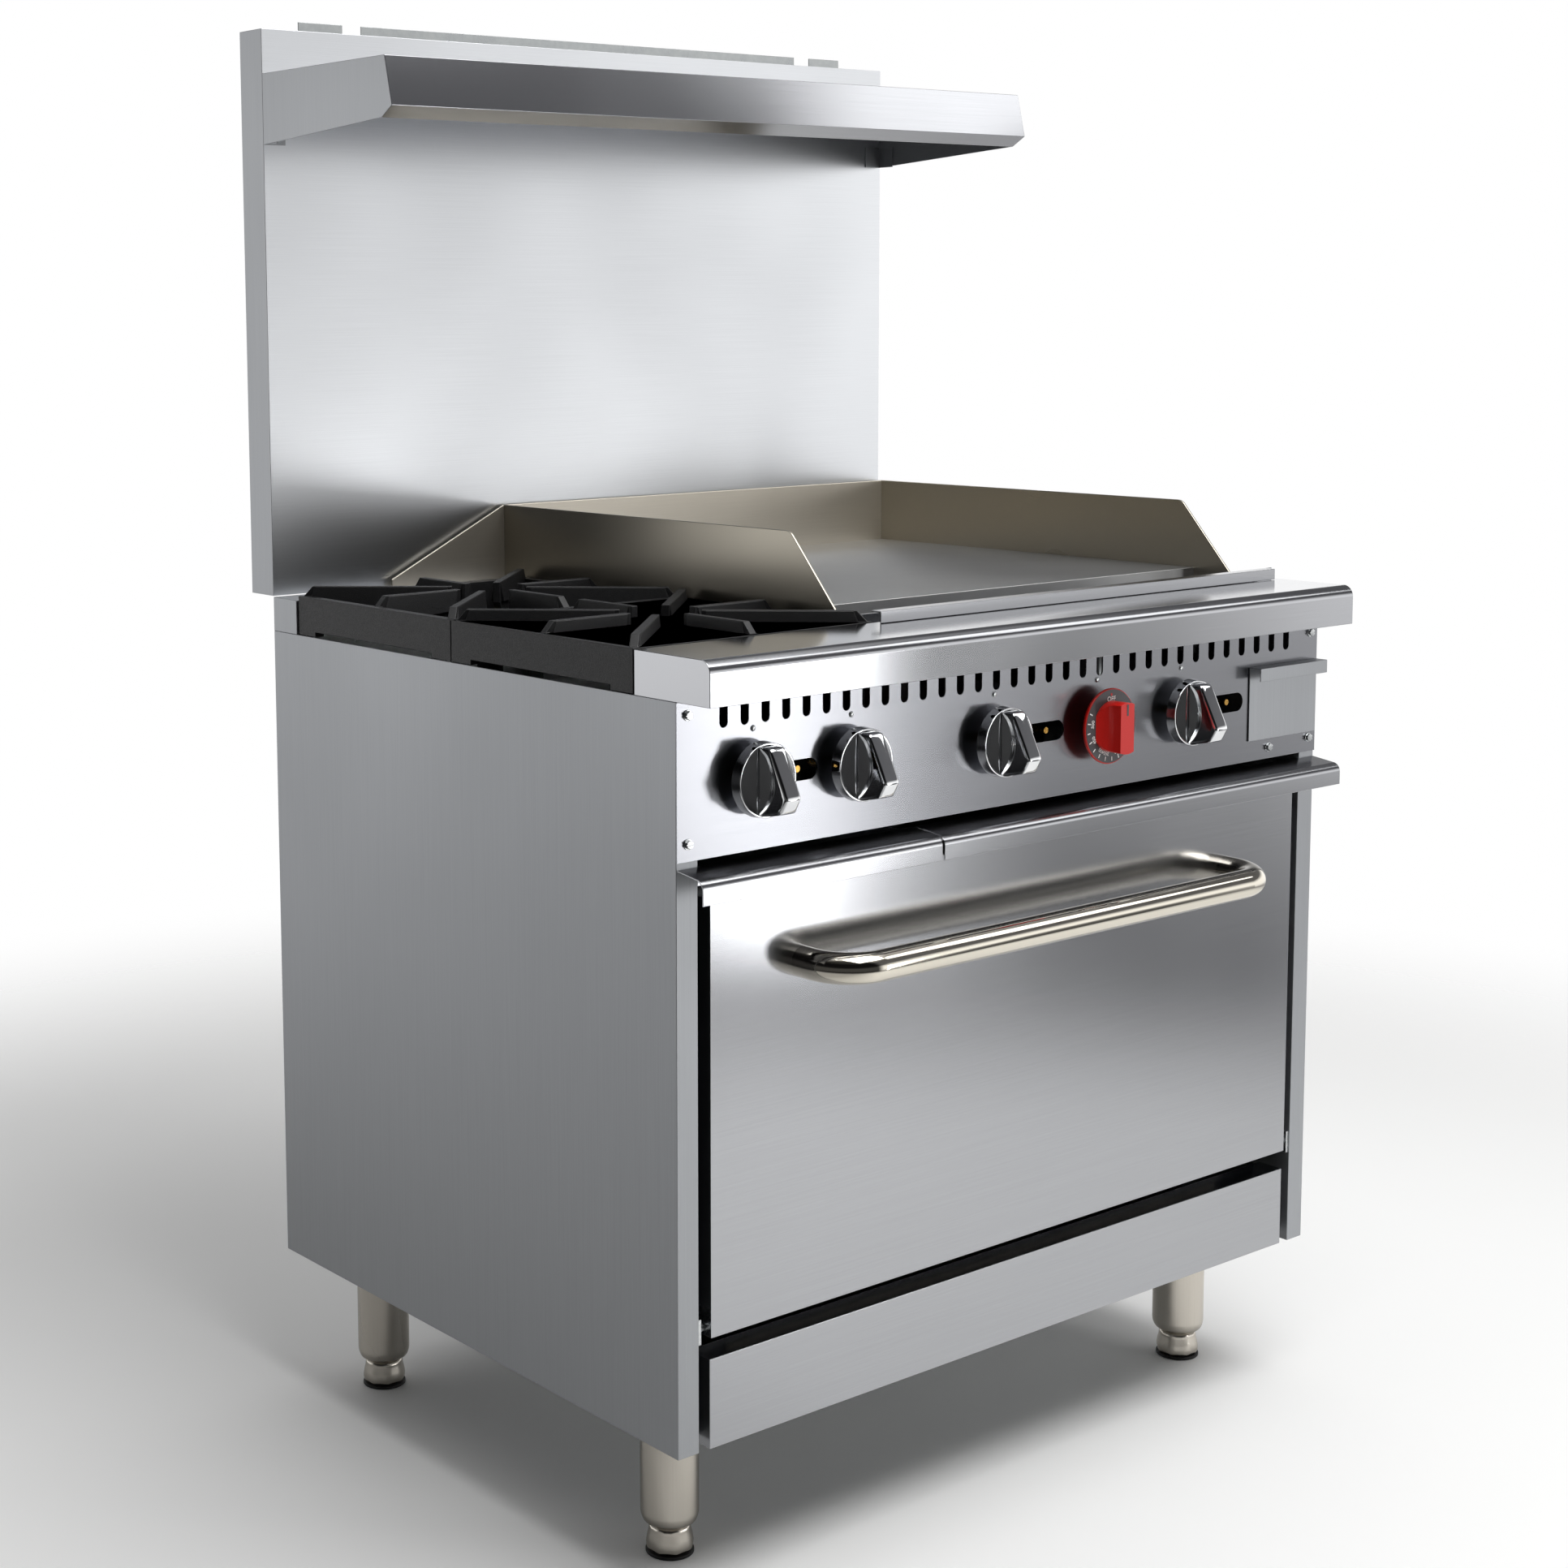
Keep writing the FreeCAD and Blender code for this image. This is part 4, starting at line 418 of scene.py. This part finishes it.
# ---------------------------------------------------------------- grate fingers
# Cast fingers are thicker at the root than along the top; each is a tapered web over the plain CAD finger.
# Millimetres, from the middle of the grate and from its top.
FINGER_TOP, FINGER_ROOT, FINGER_TIP = 8.4, 15.0, 40.0
WEB_DEPTH, RIM_GAP = 30, 8              # below the grate's top, and short of its edge
TIP_PROUD, TOP_UNDER = 0.3, 0.1         # past the CAD finger's tip, and under its top
RIM_LEAN, TIP_LEAN = 11, 3.5            # how far the two ends lean in at the top
TIP_OUT, TIP_UP = 9, 8                  # how far the tip's lower corner is cut back and up
NEVER_ZERO = 0.01                       # keeps the division below safe along an axis
for grate in ("front_grate", "rear_grate"):
    low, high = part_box(grate)
    heart = (low + high) / 2
    half_x, half_y = (high.x - low.x) / 2 / MM, (high.y - low.y) / 2 / MM
    crown, base = high.z / MM, high.z / MM - WEB_DEPTH
    diagonal = math.atan2(half_y, half_x)
    fingers = []
    for angle in (0, diagonal, math.pi / 2, math.pi - diagonal, math.pi, math.pi + diagonal,
                  1.5 * math.pi, -diagonal):
        room = min(half_x / max(abs(math.cos(angle)), NEVER_ZERO),
                   half_y / max(abs(math.sin(angle)), NEVER_ZERO)) - RIM_GAP
        web = bar("web", (FINGER_TIP - TIP_PROUD, room), (-FINGER_ROOT / 2, FINGER_ROOT / 2),
                  (base, crown - TOP_UNDER))
        top_edge, foot_edge = (crown - 1) * MM, (base + 1) * MM
        rim_end, tip_end = (room - 1) * MM, (FINGER_TIP + 1) * MM
        widen(web, lambda co: co.z > top_edge, (1, FINGER_TOP / FINGER_ROOT, 1), (0, 0, 0))
        shift(web, lambda co: co.z > top_edge and co.x > rim_end, (-RIM_LEAN * MM, 0, 0))
        shift(web, lambda co: co.z > top_edge and co.x < tip_end, (TIP_LEAN * MM, 0, 0))
        shift(web, lambda co: co.z < foot_edge and co.x < tip_end, (TIP_OUT * MM, 0, TIP_UP * MM))
        round_edges(web, 1.3)
        web.data.transform(Matrix.Translation((heart.x, heart.y, 0)) @ Matrix.Rotation(angle, 4, "Z"))
        fingers.append(web)
    dress(merge(grate + "_webs", fingers), grate, CAST_IRON, 40)

# ---------------------------------------------------------------- burner knobs
# Millimetres. Depths are measured forward (negative) from the back of the knob, heights from its axis.
SKIRT_RADIUS, SKIRT_FRONT, SKIRT_TAPER = 35, -11, 0.975
SKIRT_RIM, SKIRT_STEP, SKIRT_DISH = 2.4, 0.5, -2.6      # flat rim, then a step down into a dished face
GRIP_HALF, GRIP_BACK, GRIP_FRONT = 9.7, -8.2, -46
GRIP_LOW, GRIP_HIGH, GRIP_CUTS = -32.8, 31.7, (-12.6, -27)
GRIP_FLARE = 1.12                                       # how much wider the grip is at its root
BACK_AT_TOP, BACK_AT_CUT, BACK_AT_TIP = 22.5, 8, 35.6   # how far the grip's front falls back
TIP_TUCK = 1.5                                          # how far the lower end's root is drawn up


def chrome_knob():
    """A round skirt with a dished face, and a blade that slopes to both ends."""
    skirt = front_disc("knob_skirt", SKIRT_RADIUS, 0, SKIRT_FRONT, vertices=96)
    choose(skirt, lambda face: face.normal.y < -0.9, "FACE")
    bpy.ops.mesh.inset(thickness=SKIRT_RIM * MM)
    bpy.ops.mesh.inset(thickness=SKIRT_STEP * MM, depth=SKIRT_DISH * MM)
    done()
    widen(skirt, lambda co: co.y < (SKIRT_FRONT + 0.1) * MM, (SKIRT_TAPER, 1, SKIRT_TAPER), (0, 0, 0))
    round_edges(skirt, 0.8)
    grip = bar("knob_grip", (-GRIP_HALF, GRIP_HALF), (GRIP_FRONT, GRIP_BACK), (GRIP_LOW, GRIP_HIGH))
    for height in GRIP_CUTS:
        slice_across(grip, (0, 0, height * MM), (0, 0, 1))
    front, root, tip = (GRIP_FRONT + 6) * MM, (GRIP_BACK - 0.8) * MM, (GRIP_LOW + 0.8) * MM
    crest, cut = (GRIP_HIGH - 1.7) * MM, GRIP_CUTS[1] * MM
    shift(grip, lambda co: co.y < front and co.z > crest, (0, BACK_AT_TOP * MM, 0))
    shift(grip, lambda co: co.y < front and abs(co.z - cut) < MM, (0, BACK_AT_CUT * MM, 0))
    shift(grip, lambda co: co.y < front and co.z < tip, (0, BACK_AT_TIP * MM, 0))
    widen(grip, lambda co: co.y > root, (GRIP_FLARE, 1, 1), (0, 0, 0))
    shift(grip, lambda co: co.z < tip and co.y > root, (0, 0, TIP_TUCK * MM))
    round_edges(grip, 2.6, 1, 15)
    modify(grip, "SUBSURF", levels=2)
    return merge("knob_pattern", [skirt, grip])


def knob_axis(node):
    """Where the axis of a knob meets the plane of its back."""
    low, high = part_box(node)
    return Vector(((low.x + high.x) / 2, high.y, (low.z + high.z) / 2))


pattern = chrome_knob()
for number in "1234":
    node = "knob_" + number
    knob = twin(pattern, f"burner_knob_{number}_cast", knob_axis(node))
    wrap(knob)
    dress(knob, node, CHROME, 40)
bpy.data.objects.remove(pattern)

# ---------------------------------------------------------------- thermostat dial
# Millimetres, measured as on the burner knobs.
DIAL_RADIUS, DIAL_FACE, DIAL_WAIST, DIAL_BACK_SHARE = 38.5, -9.0, -6, 0.8
SINK = 0.5                                              # how far the grip starts inside the dial
HUB_HALF, HUB_TALL = 24, 26.5
HUB_SHAPE = ((-13, 0.74), (-17, 0.55), (-22, 0.46), (-30.5, 0.42))     # depth, and share of its width there
HUB_FRONT = HUB_SHAPE[-1][0]
BARREL_RADIUS, BARREL_FRONT = 26, -34                   # the round bar that the grip is cut from
PLATE_RADIUS, PLATE_THICK = 37.2, 0.35
INK_BACK, INK_FRONT = DIAL_FACE - 0.3, DIAL_FACE - 0.5
LABELS = ("", "500", "", "450", "", "400", "350", "", "300", "", "250")
FIRST_TICK, TICK_STEP = -64, -17                        # degrees behind the top, seen from the front
TICK_HALF, TICK_INNER, TICK_OUTER = 0.6, 31.2, 35.4
WORD_RADIUS, WORD_SIZE, OFF_SIZE = 27.6, 5.6, 7.2
STROKE_MORE, STROKE_THICK = 0.06, 0.08
POINTER_HALF, POINTER_FRONT, POINTER_LOW, POINTER_HIGH = 1.3, -30.75, 13, 24.5
ZERO_RADIUS, ZERO_HEIGHT = 1.5, 32.3


def dial_word(text, angle, size_mm=WORD_SIZE):
    """Small raised lettering on the dial, upright towards the rim."""
    bpy.ops.object.select_all(action="DESELECT")
    bpy.ops.object.text_add(location=(0, 0, 0))
    word = bpy.context.object
    word.data.body = text
    word.data.align_x, word.data.align_y = "CENTER", "CENTER"
    word.data.size = size_mm * MM
    word.data.offset = STROKE_MORE * MM
    word.data.extrude = STROKE_THICK * MM
    bpy.ops.object.convert(target="MESH")
    out = Matrix.Translation((0, (INK_FRONT + STROKE_THICK) * MM, WORD_RADIUS * MM))
    word.data.transform(Matrix.Rotation(angle, 4, "Y") @ out @ Matrix.Rotation(math.radians(90), 4, "X"))
    return word


dial = front_disc("dial_body", DIAL_RADIUS, 0, DIAL_FACE, vertices=96)
slice_across(dial, (0, DIAL_WAIST * MM, 0), (0, 1, 0))
widen(dial, lambda co: co.y > -MM, (DIAL_BACK_SHARE, 1, DIAL_BACK_SHARE), (0, 0, 0))
round_edges(dial, 1.2)
hub = bar("dial_grip", (-HUB_HALF, HUB_HALF), (DIAL_FACE + SINK, HUB_FRONT), (-HUB_TALL, HUB_TALL))
for depth, _ in HUB_SHAPE[:-1]:
    slice_across(hub, (0, depth * MM, 0), (0, 1, 0))
for depth, share in HUB_SHAPE:
    widen(hub, lambda co, at=depth: abs(co.y - at * MM) < 0.2 * MM, (share, 1, 1), (0, 0, 0))
barrel = front_disc("dial_barrel", BARREL_RADIUS, DIAL_FACE + SINK, BARREL_FRONT, vertices=96)
modify(hub, "BOOLEAN", operation="INTERSECT", object=barrel, solver="EXACT")
bpy.data.objects.remove(barrel)
round_edges(hub, 1.1, 3, 40)
red = merge("thermostat_dial_moulded", [dial, hub])
plate = front_disc("dial_plate", PLATE_RADIUS, DIAL_FACE, DIAL_FACE - PLATE_THICK, vertices=96)
choose(plate, lambda face: face.normal.y < -0.9, "FACE")
bpy.ops.mesh.inset(thickness=0.3 * MM)
done()
marks = []
for i, text in enumerate(LABELS):
    angle = math.radians(FIRST_TICK + TICK_STEP * i)
    tick = bar(f"dial_tick_{i}", (-TICK_HALF, TICK_HALF), (INK_BACK, INK_FRONT), (TICK_INNER, TICK_OUTER))
    tick.data.transform(Matrix.Rotation(angle, 4, "Y"))
    marks.append(tick)
    if text:
        marks.append(dial_word(text, angle))
marks.append(dial_word("OFF", 0.0, OFF_SIZE))
letters = merge("dial_marks", marks)
pointer = bar("dial_pointer", (-POINTER_HALF, POINTER_HALF), (HUB_FRONT + 0.2, POINTER_FRONT),
              (POINTER_LOW, POINTER_HIGH))
zero = front_disc("dial_zero", ZERO_RADIUS, INK_BACK, INK_FRONT - 0.05, (0, ZERO_HEIGHT), 24)
for piece, finish in ((red, RED_PLASTIC), (plate, DIAL_GREY), (letters, WHITE_INK), (pointer, DIAL_GREY),
                      (zero, RED_PLASTIC)):
    piece.data.transform(Matrix.Translation(knob_axis("thermostat_knob")))
    dress(piece, "thermostat_knob", finish)

# ---------------------------------------------------------------- door handle
BEND_RADIUS, BEND_STEPS, TUBE_SIDES = 42, 14, 48
low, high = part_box("door_handle")
tube = (high.z - low.z) / 2
bend = BEND_RADIUS * MM
line = Vector((0, low.y + tube, (low.z + high.z) / 2))
reach = high.x - tube - bend
handle = primitive("circle", "door_handle_bent_tube", (-reach, line.y, line.z), vertices=TUBE_SIDES,
                   radius=tube, rotation=(0, math.radians(90), 0))
for side in (1, -1):
    choose(handle, lambda co: abs(co.x + reach) < 0.1 * MM)      # the ring that the tube was started from
    if side > 0:
        bpy.ops.mesh.extrude_region_move(TRANSFORM_OT_translate={"value": (2 * reach, 0, 0)})
    bpy.ops.mesh.spin(steps=BEND_STEPS, angle=side * math.radians(-90), axis=(0, 0, 1),
                      center=(side * reach, line.y + bend, line.z))
    bpy.ops.mesh.extrude_region_move(TRANSFORM_OT_translate={"value": (0, high.y - line.y - bend, 0)})
    bpy.ops.mesh.edge_face_add()
    done()
choose(handle, lambda co: True)
bpy.ops.mesh.remove_doubles(threshold=0.01 * MM)
bpy.ops.mesh.normals_make_consistent(inside=False)
done()
wrap(handle)
dress(handle, "door_handle", STAINLESS_TUBE, 60)

# ---------------------------------------------------------------- legs and levelling feet
# Millimetres, heights from the floor.
LEG_RADIUS, LEG_TURN, LEG_TURN_SHARE = 28.5, 8, 0.86    # the lower end is turned in over this height
NECK_RADIUS, NECK_MIDDLE, NECK_TALL, NECK_FACETS = 24.6, 16.7, 27.6, 8
NECK_SHAPE = ((2.9, 0.985), (11, 1.0), (17, 0.96), (23, 0.9), (30.5, 0.9))     # height, share of its radius
PAD_RADIUS, PAD_THICK = 23.6, 3.2
STUD_RADIUS, STUD_MIDDLE, STUD_LONG = 8.9, 60, 62
low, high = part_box("leg_tubes")
leg_low, leg_high = low.z / MM, high.z / MM
tubes = []
for node in ("foot_front_left", "foot_front_right", "foot_rear_left", "foot_rear_right"):
    spot = middle(node)
    shank = primitive("cylinder", "leg_" + node, (spot.x, spot.y, (leg_low + leg_high) / 2 * MM),
                      vertices=72, radius=LEG_RADIUS * MM, depth=(leg_high - leg_low) * MM)
    slice_across(shank, (0, 0, (leg_low + LEG_TURN) * MM), (0, 0, 1))
    widen(shank, lambda co: co.z < (leg_low + 1) * MM, (LEG_TURN_SHARE, LEG_TURN_SHARE, 1),
          (spot.x, spot.y, 0))
    round_edges(shank, 4, 4, 8)
    tubes.append(shank)
    # the foot: a neck that flares into eight soft facets, a rubber pad and the threaded stud
    neck = primitive("cylinder", node + "_pressed", (spot.x, spot.y, NECK_MIDDLE * MM),
                     vertices=NECK_FACETS, radius=NECK_RADIUS * MM, depth=NECK_TALL * MM,
                     rotation=(0, 0, math.pi / NECK_FACETS))
    for height, _ in NECK_SHAPE[1:-1]:
        slice_across(neck, (0, 0, height * MM), (0, 0, 1))
    for height, share in NECK_SHAPE:
        widen(neck, lambda co, at=height: abs(co.z - at * MM) < 0.3 * MM, (share, share, 1),
              (spot.x, spot.y, 0))
    round_edges(neck, 5.5, 4)
    pad = primitive("cylinder", node + "_pad", (spot.x, spot.y, PAD_THICK / 2 * MM), vertices=64,
                    radius=PAD_RADIUS * MM, depth=PAD_THICK * MM)
    round_edges(pad, 0.8)
    stud = primitive("cylinder", node + "_stud", (spot.x, spot.y, STUD_MIDDLE * MM), vertices=32,
                     radius=STUD_RADIUS * MM, depth=STUD_LONG * MM)
    round_edges(stud, 1)
    for piece, finish in ((neck, LEG_STEEL), (pad, RUBBER), (stud, ZINC_STEEL)):
        wrap(piece)
        dress(piece, node, finish, 50)
legs = merge("leg_tubes_turned", tubes)
wrap(legs)
dress(legs, "leg_tubes", LEG_STEEL, 40)

# ---------------------------------------------------------------- screws and rivets
# Millimetres, depths from the face of the panel.
WASHER_RADIUS, WASHER_THICK = 5, 1.0
HEX_RADIUS, HEX_TALL, HEX_MIDDLE = 4.3, 3.2, 2.2
SLOT_LONG, SLOT_DEEP, SLOT_WIDE, SLOT_MIDDLE = 12, 1.4, 1.1, 3.6
DRAWER_SCREW = (-22, -9.5)             # from the middle and the lower edge of the drawer's face
RIVET_RADIUS, RIVET_SHARE = 3, 0.5     # a dome half as tall as its radius
low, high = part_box("panel_screws")
head = WASHER_RADIUS * MM


def slotted_screw(x, z):
    """Hexagon washer head with a driver slot."""
    washer = primitive("cylinder", "washer", (x, high.y - WASHER_THICK / 2 * MM, z), vertices=40,
                       radius=head, depth=WASHER_THICK * MM, rotation=UPRIGHT)
    round_edges(washer, 0.3, 2)
    cap = primitive("cylinder", "cap", (x, high.y - HEX_MIDDLE * MM, z), vertices=6,
                    radius=HEX_RADIUS * MM, depth=HEX_TALL * MM, rotation=UPRIGHT)
    round_edges(cap, 0.5, 2)
    groove = primitive("cube", "groove", (x, high.y - SLOT_MIDDLE * MM, z), size=1,
                       scale=(SLOT_LONG * MM, SLOT_DEEP * MM, SLOT_WIDE * MM))
    modify(cap, "BOOLEAN", operation="DIFFERENCE", object=groove, solver="EXACT")
    bpy.data.objects.remove(groove)
    return [washer, cap]


screws = []
for x in (low.x + head, high.x - head):
    for z in (low.z + head, high.z - head):
        screws += slotted_screw(x, z)
drawer_low, drawer_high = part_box("grease_drawer")
screws += slotted_screw((drawer_low.x + drawer_high.x) / 2 + DRAWER_SCREW[0] * MM,
                        drawer_low.z + DRAWER_SCREW[1] * MM)
dress(merge("panel_screws_hex", screws), "panel_screws", ZINC_STEEL)

domes = []
low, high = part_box("pointer_rivets")
for node in ("knob_1", "knob_2", "knob_3", "thermostat_knob", "knob_4"):
    x = middle(node).x
    domes.append(primitive("uv_sphere", "dome", (x, high.y, (low.z + high.z) / 2), segments=24,
                           ring_count=12, radius=RIVET_RADIUS * MM, scale=(1, RIVET_SHARE, 1)))
dress(merge("pointer_rivets_domed", domes), "pointer_rivets", ZINC_STEEL, 60)

# ---------------------------------------------------------------- floor, light and camera
FLOOR_SOLID, FLOOR_EDGE = 1.35, 2.5     # the pale floor fades out between these radii
bpy.ops.object.select_all(action="DESELECT")
bpy.ops.mesh.primitive_circle_add(vertices=128, radius=FLOOR_EDGE, fill_type="NGON", location=(0, 0, 0))
floor = bpy.context.object
floor.name = "pale_floor"
floor_paint, paint, _ = new_material("pale_floor_paint", "#f3f3f2", 0.0, 0.65)
spot = add_node(paint, "ShaderNodeTexCoord")
radius = add_node(paint, "ShaderNodeVectorMath", {0: spot.outputs["Object"]}, operation="LENGTH")
fade = add_node(paint, "ShaderNodeMapRange", {
    "Value": radius.outputs["Value"], "From Min": FLOOR_SOLID, "From Max": FLOOR_EDGE},
    interpolation_type="SMOOTHSTEP")
side_of = add_node(paint, "ShaderNodeSeparateXYZ", {"Vector": spot.outputs["Object"]})
# painted shade: in what the metal mirrors, the floor is darker towards the left
dim_left = add_node(paint, "ShaderNodeMapRange", {
    "Value": side_of.outputs["X"], "From Min": -0.8, "From Max": 0.0, "To Min": 0.5, "To Max": 0.0})
mirrored = add_node(paint, "ShaderNodeLightPath")
dim = add_node(paint, "ShaderNodeMath", {0: dim_left.outputs["Result"], 1: mirrored.outputs["Is Glossy Ray"]},
               operation="MULTIPLY")
pale = add_node(paint, "ShaderNodeMix", {
    "Factor": dim.outputs[0], 6: linear("#f3f3f2"), 7: linear("#000000")}, data_type="RGBA")
paint.links.new(pale.outputs[2], paint.nodes["Principled BSDF"].inputs["Base Color"])
gone = add_node(paint, "ShaderNodeBsdfTransparent")
seen = add_node(paint, "ShaderNodeMixShader", {0: fade.outputs["Result"],
                                               1: paint.nodes["Principled BSDF"].outputs[0],
                                               2: gone.outputs[0]})
paint.links.new(seen.outputs[0], paint.nodes["Material Output"].inputs["Surface"])
coat(floor, floor_paint)

# the air is white to the eye; what the metal mirrors is a studio: dark past the floor, dark behind the camera
world = bpy.data.worlds.new("studio")
bpy.context.scene.world = world
world.use_nodes = True
sky = world.node_tree
sky.nodes.clear()
looking = add_node(sky, "ShaderNodeTexCoord")
split = add_node(sky, "ShaderNodeSeparateXYZ", {"Vector": looking.outputs["Generated"]})
height = add_node(sky, "ShaderNodeMapRange", {"Value": split.outputs["Z"], "From Min": -1.0, "From Max": 1.0})
# from straight down to straight up: dim floor, bright horizon, dark walls, bright ceiling
STUDIO = [(0.0, "#7f7f7f"), (0.25, "#afafb0"), (0.37, "#8e8e90"), (0.422, "#eeeeee"), (0.50, "#fbfbfb"),
          (0.57, "#f8f8f8"), (0.655, "#5c5c5e"), (0.82, "#535355"), (0.93, "#dcdcdc"), (1.0, "#f0f0f0")]
shade = add_node(sky, "ShaderNodeValToRGB", {"Fac": height.outputs["Result"]}, STUDIO)
FLAG_TOWARDS = (-0.72, -0.69, 0.0)      # the dark flag stands to the front and the left
behind = add_node(sky, "ShaderNodeVectorMath", {0: looking.outputs["Generated"], 1: FLAG_TOWARDS},
                  operation="DOT_PRODUCT")
flag = add_node(sky, "ShaderNodeMapRange", {
    "Value": behind.outputs["Value"], "From Min": 0.2, "From Max": 0.45, "To Min": 1.4, "To Max": 0.07},
    interpolation_type="SMOOTHSTEP")
# a black card to the right of the key light, below the horizon: the fronts mirror its soft edge
card_at = add_node(sky, "ShaderNodeMapping", {
    "Vector": looking.outputs["Generated"], "Location": (0.715, -0.656, -0.24),
    "Rotation": (0.0, 0.0, math.radians(47.5)), "Scale": (0.10, 1.0, 0.2)}, vector_type="TEXTURE")
card_far = add_node(sky, "ShaderNodeVectorMath", {0: card_at.outputs["Vector"]}, operation="LENGTH")
card = add_node(sky, "ShaderNodeMapRange", {
    "Value": card_far.outputs["Value"], "From Min": 0.6, "From Max": 1.3, "To Min": 0.12, "To Max": 1.0},
    interpolation_type="SMOOTHSTEP")
glow = add_node(sky, "ShaderNodeMath", {0: flag.outputs["Result"], 1: card.outputs["Result"]},
                operation="MULTIPLY")
studio_air = add_node(sky, "ShaderNodeBackground", {"Color": shade.outputs["Color"],
                                                    "Strength": glow.outputs[0]})
white_air = add_node(sky, "ShaderNodeBackground", {"Color": linear("#ffffff"), "Strength": 1.0})
ray = add_node(sky, "ShaderNodeLightPath")
air = add_node(sky, "ShaderNodeMixShader", {0: ray.outputs["Is Camera Ray"], 1: studio_air.outputs[0],
                                            2: white_air.outputs[0]})
add_node(sky, "ShaderNodeOutputWorld", {"Surface": air.outputs[0]})


def softbox(name, place, aim, size, glow):
    """A rectangular area light of one brightness that points at one spot."""
    data = bpy.data.lights.new(name, "AREA")
    data.shape = "RECTANGLE"
    data.size, data.size_y = size
    data.energy = glow * math.pi * size[0] * size[1]
    lamp = bpy.data.objects.new(name, data)
    lamp.location = place
    lamp.rotation_mode = "QUATERNION"
    lamp.rotation_quaternion = (Vector(aim) - Vector(place)).to_track_quat("-Z", "Y")
    lamp.visible_camera = False
    bpy.context.scene.collection.objects.link(lamp)


# place, the spot that it points at, size in metres and brightness
softbox("shelf_softbox", (2.9, -1.75, 3.2), (0.2, -0.2, 1.4), (1.1, 1.2), 2.2)
softbox("door_strip", (1.21, -2.1, 0.42), (-0.37, -0.3, 0.6), (0.2, 0.8), 9.0)
softbox("top_softbox", (0.3, -1.3, 3.4), (0, -0.1, 0.8), (2.6, 1.8), 6.2)

# The camera, solved on the range's straight edges: angles in radians, place in metres, lens in mm.
AZIMUTH, ELEVATION, ROLL = 0.6495, 0.1154, -0.0092
CAMERA_AT = (-1.87945, -2.02512, 1.19086)
SENSOR, FOCAL_LENGTH, LENS_SHIFT = 36, 58.473, (0.14615, -0.11195)
ahead = Vector((math.cos(ELEVATION) * math.sin(AZIMUTH), math.cos(ELEVATION) * math.cos(AZIMUTH),
                -math.sin(ELEVATION)))
across = Vector((math.cos(AZIMUTH), -math.sin(AZIMUTH), 0))
upward = across.cross(ahead)
right = math.cos(ROLL) * across + math.sin(ROLL) * upward
top = -math.sin(ROLL) * across + math.cos(ROLL) * upward
lens = bpy.data.cameras.new("camera")
lens.sensor_width = SENSOR
lens.lens = FOCAL_LENGTH
lens.shift_x, lens.shift_y = LENS_SHIFT
lens.clip_start, lens.clip_end = 0.05, 100
camera = bpy.data.objects.new("camera", lens)
turn = Matrix((right, top, -ahead)).transposed().to_4x4()
camera.matrix_world = Matrix.Translation(CAMERA_AT) @ turn
bpy.context.scene.collection.objects.link(camera)
bpy.context.scene.camera = camera
bpy.context.scene.view_settings.view_transform = "Standard"
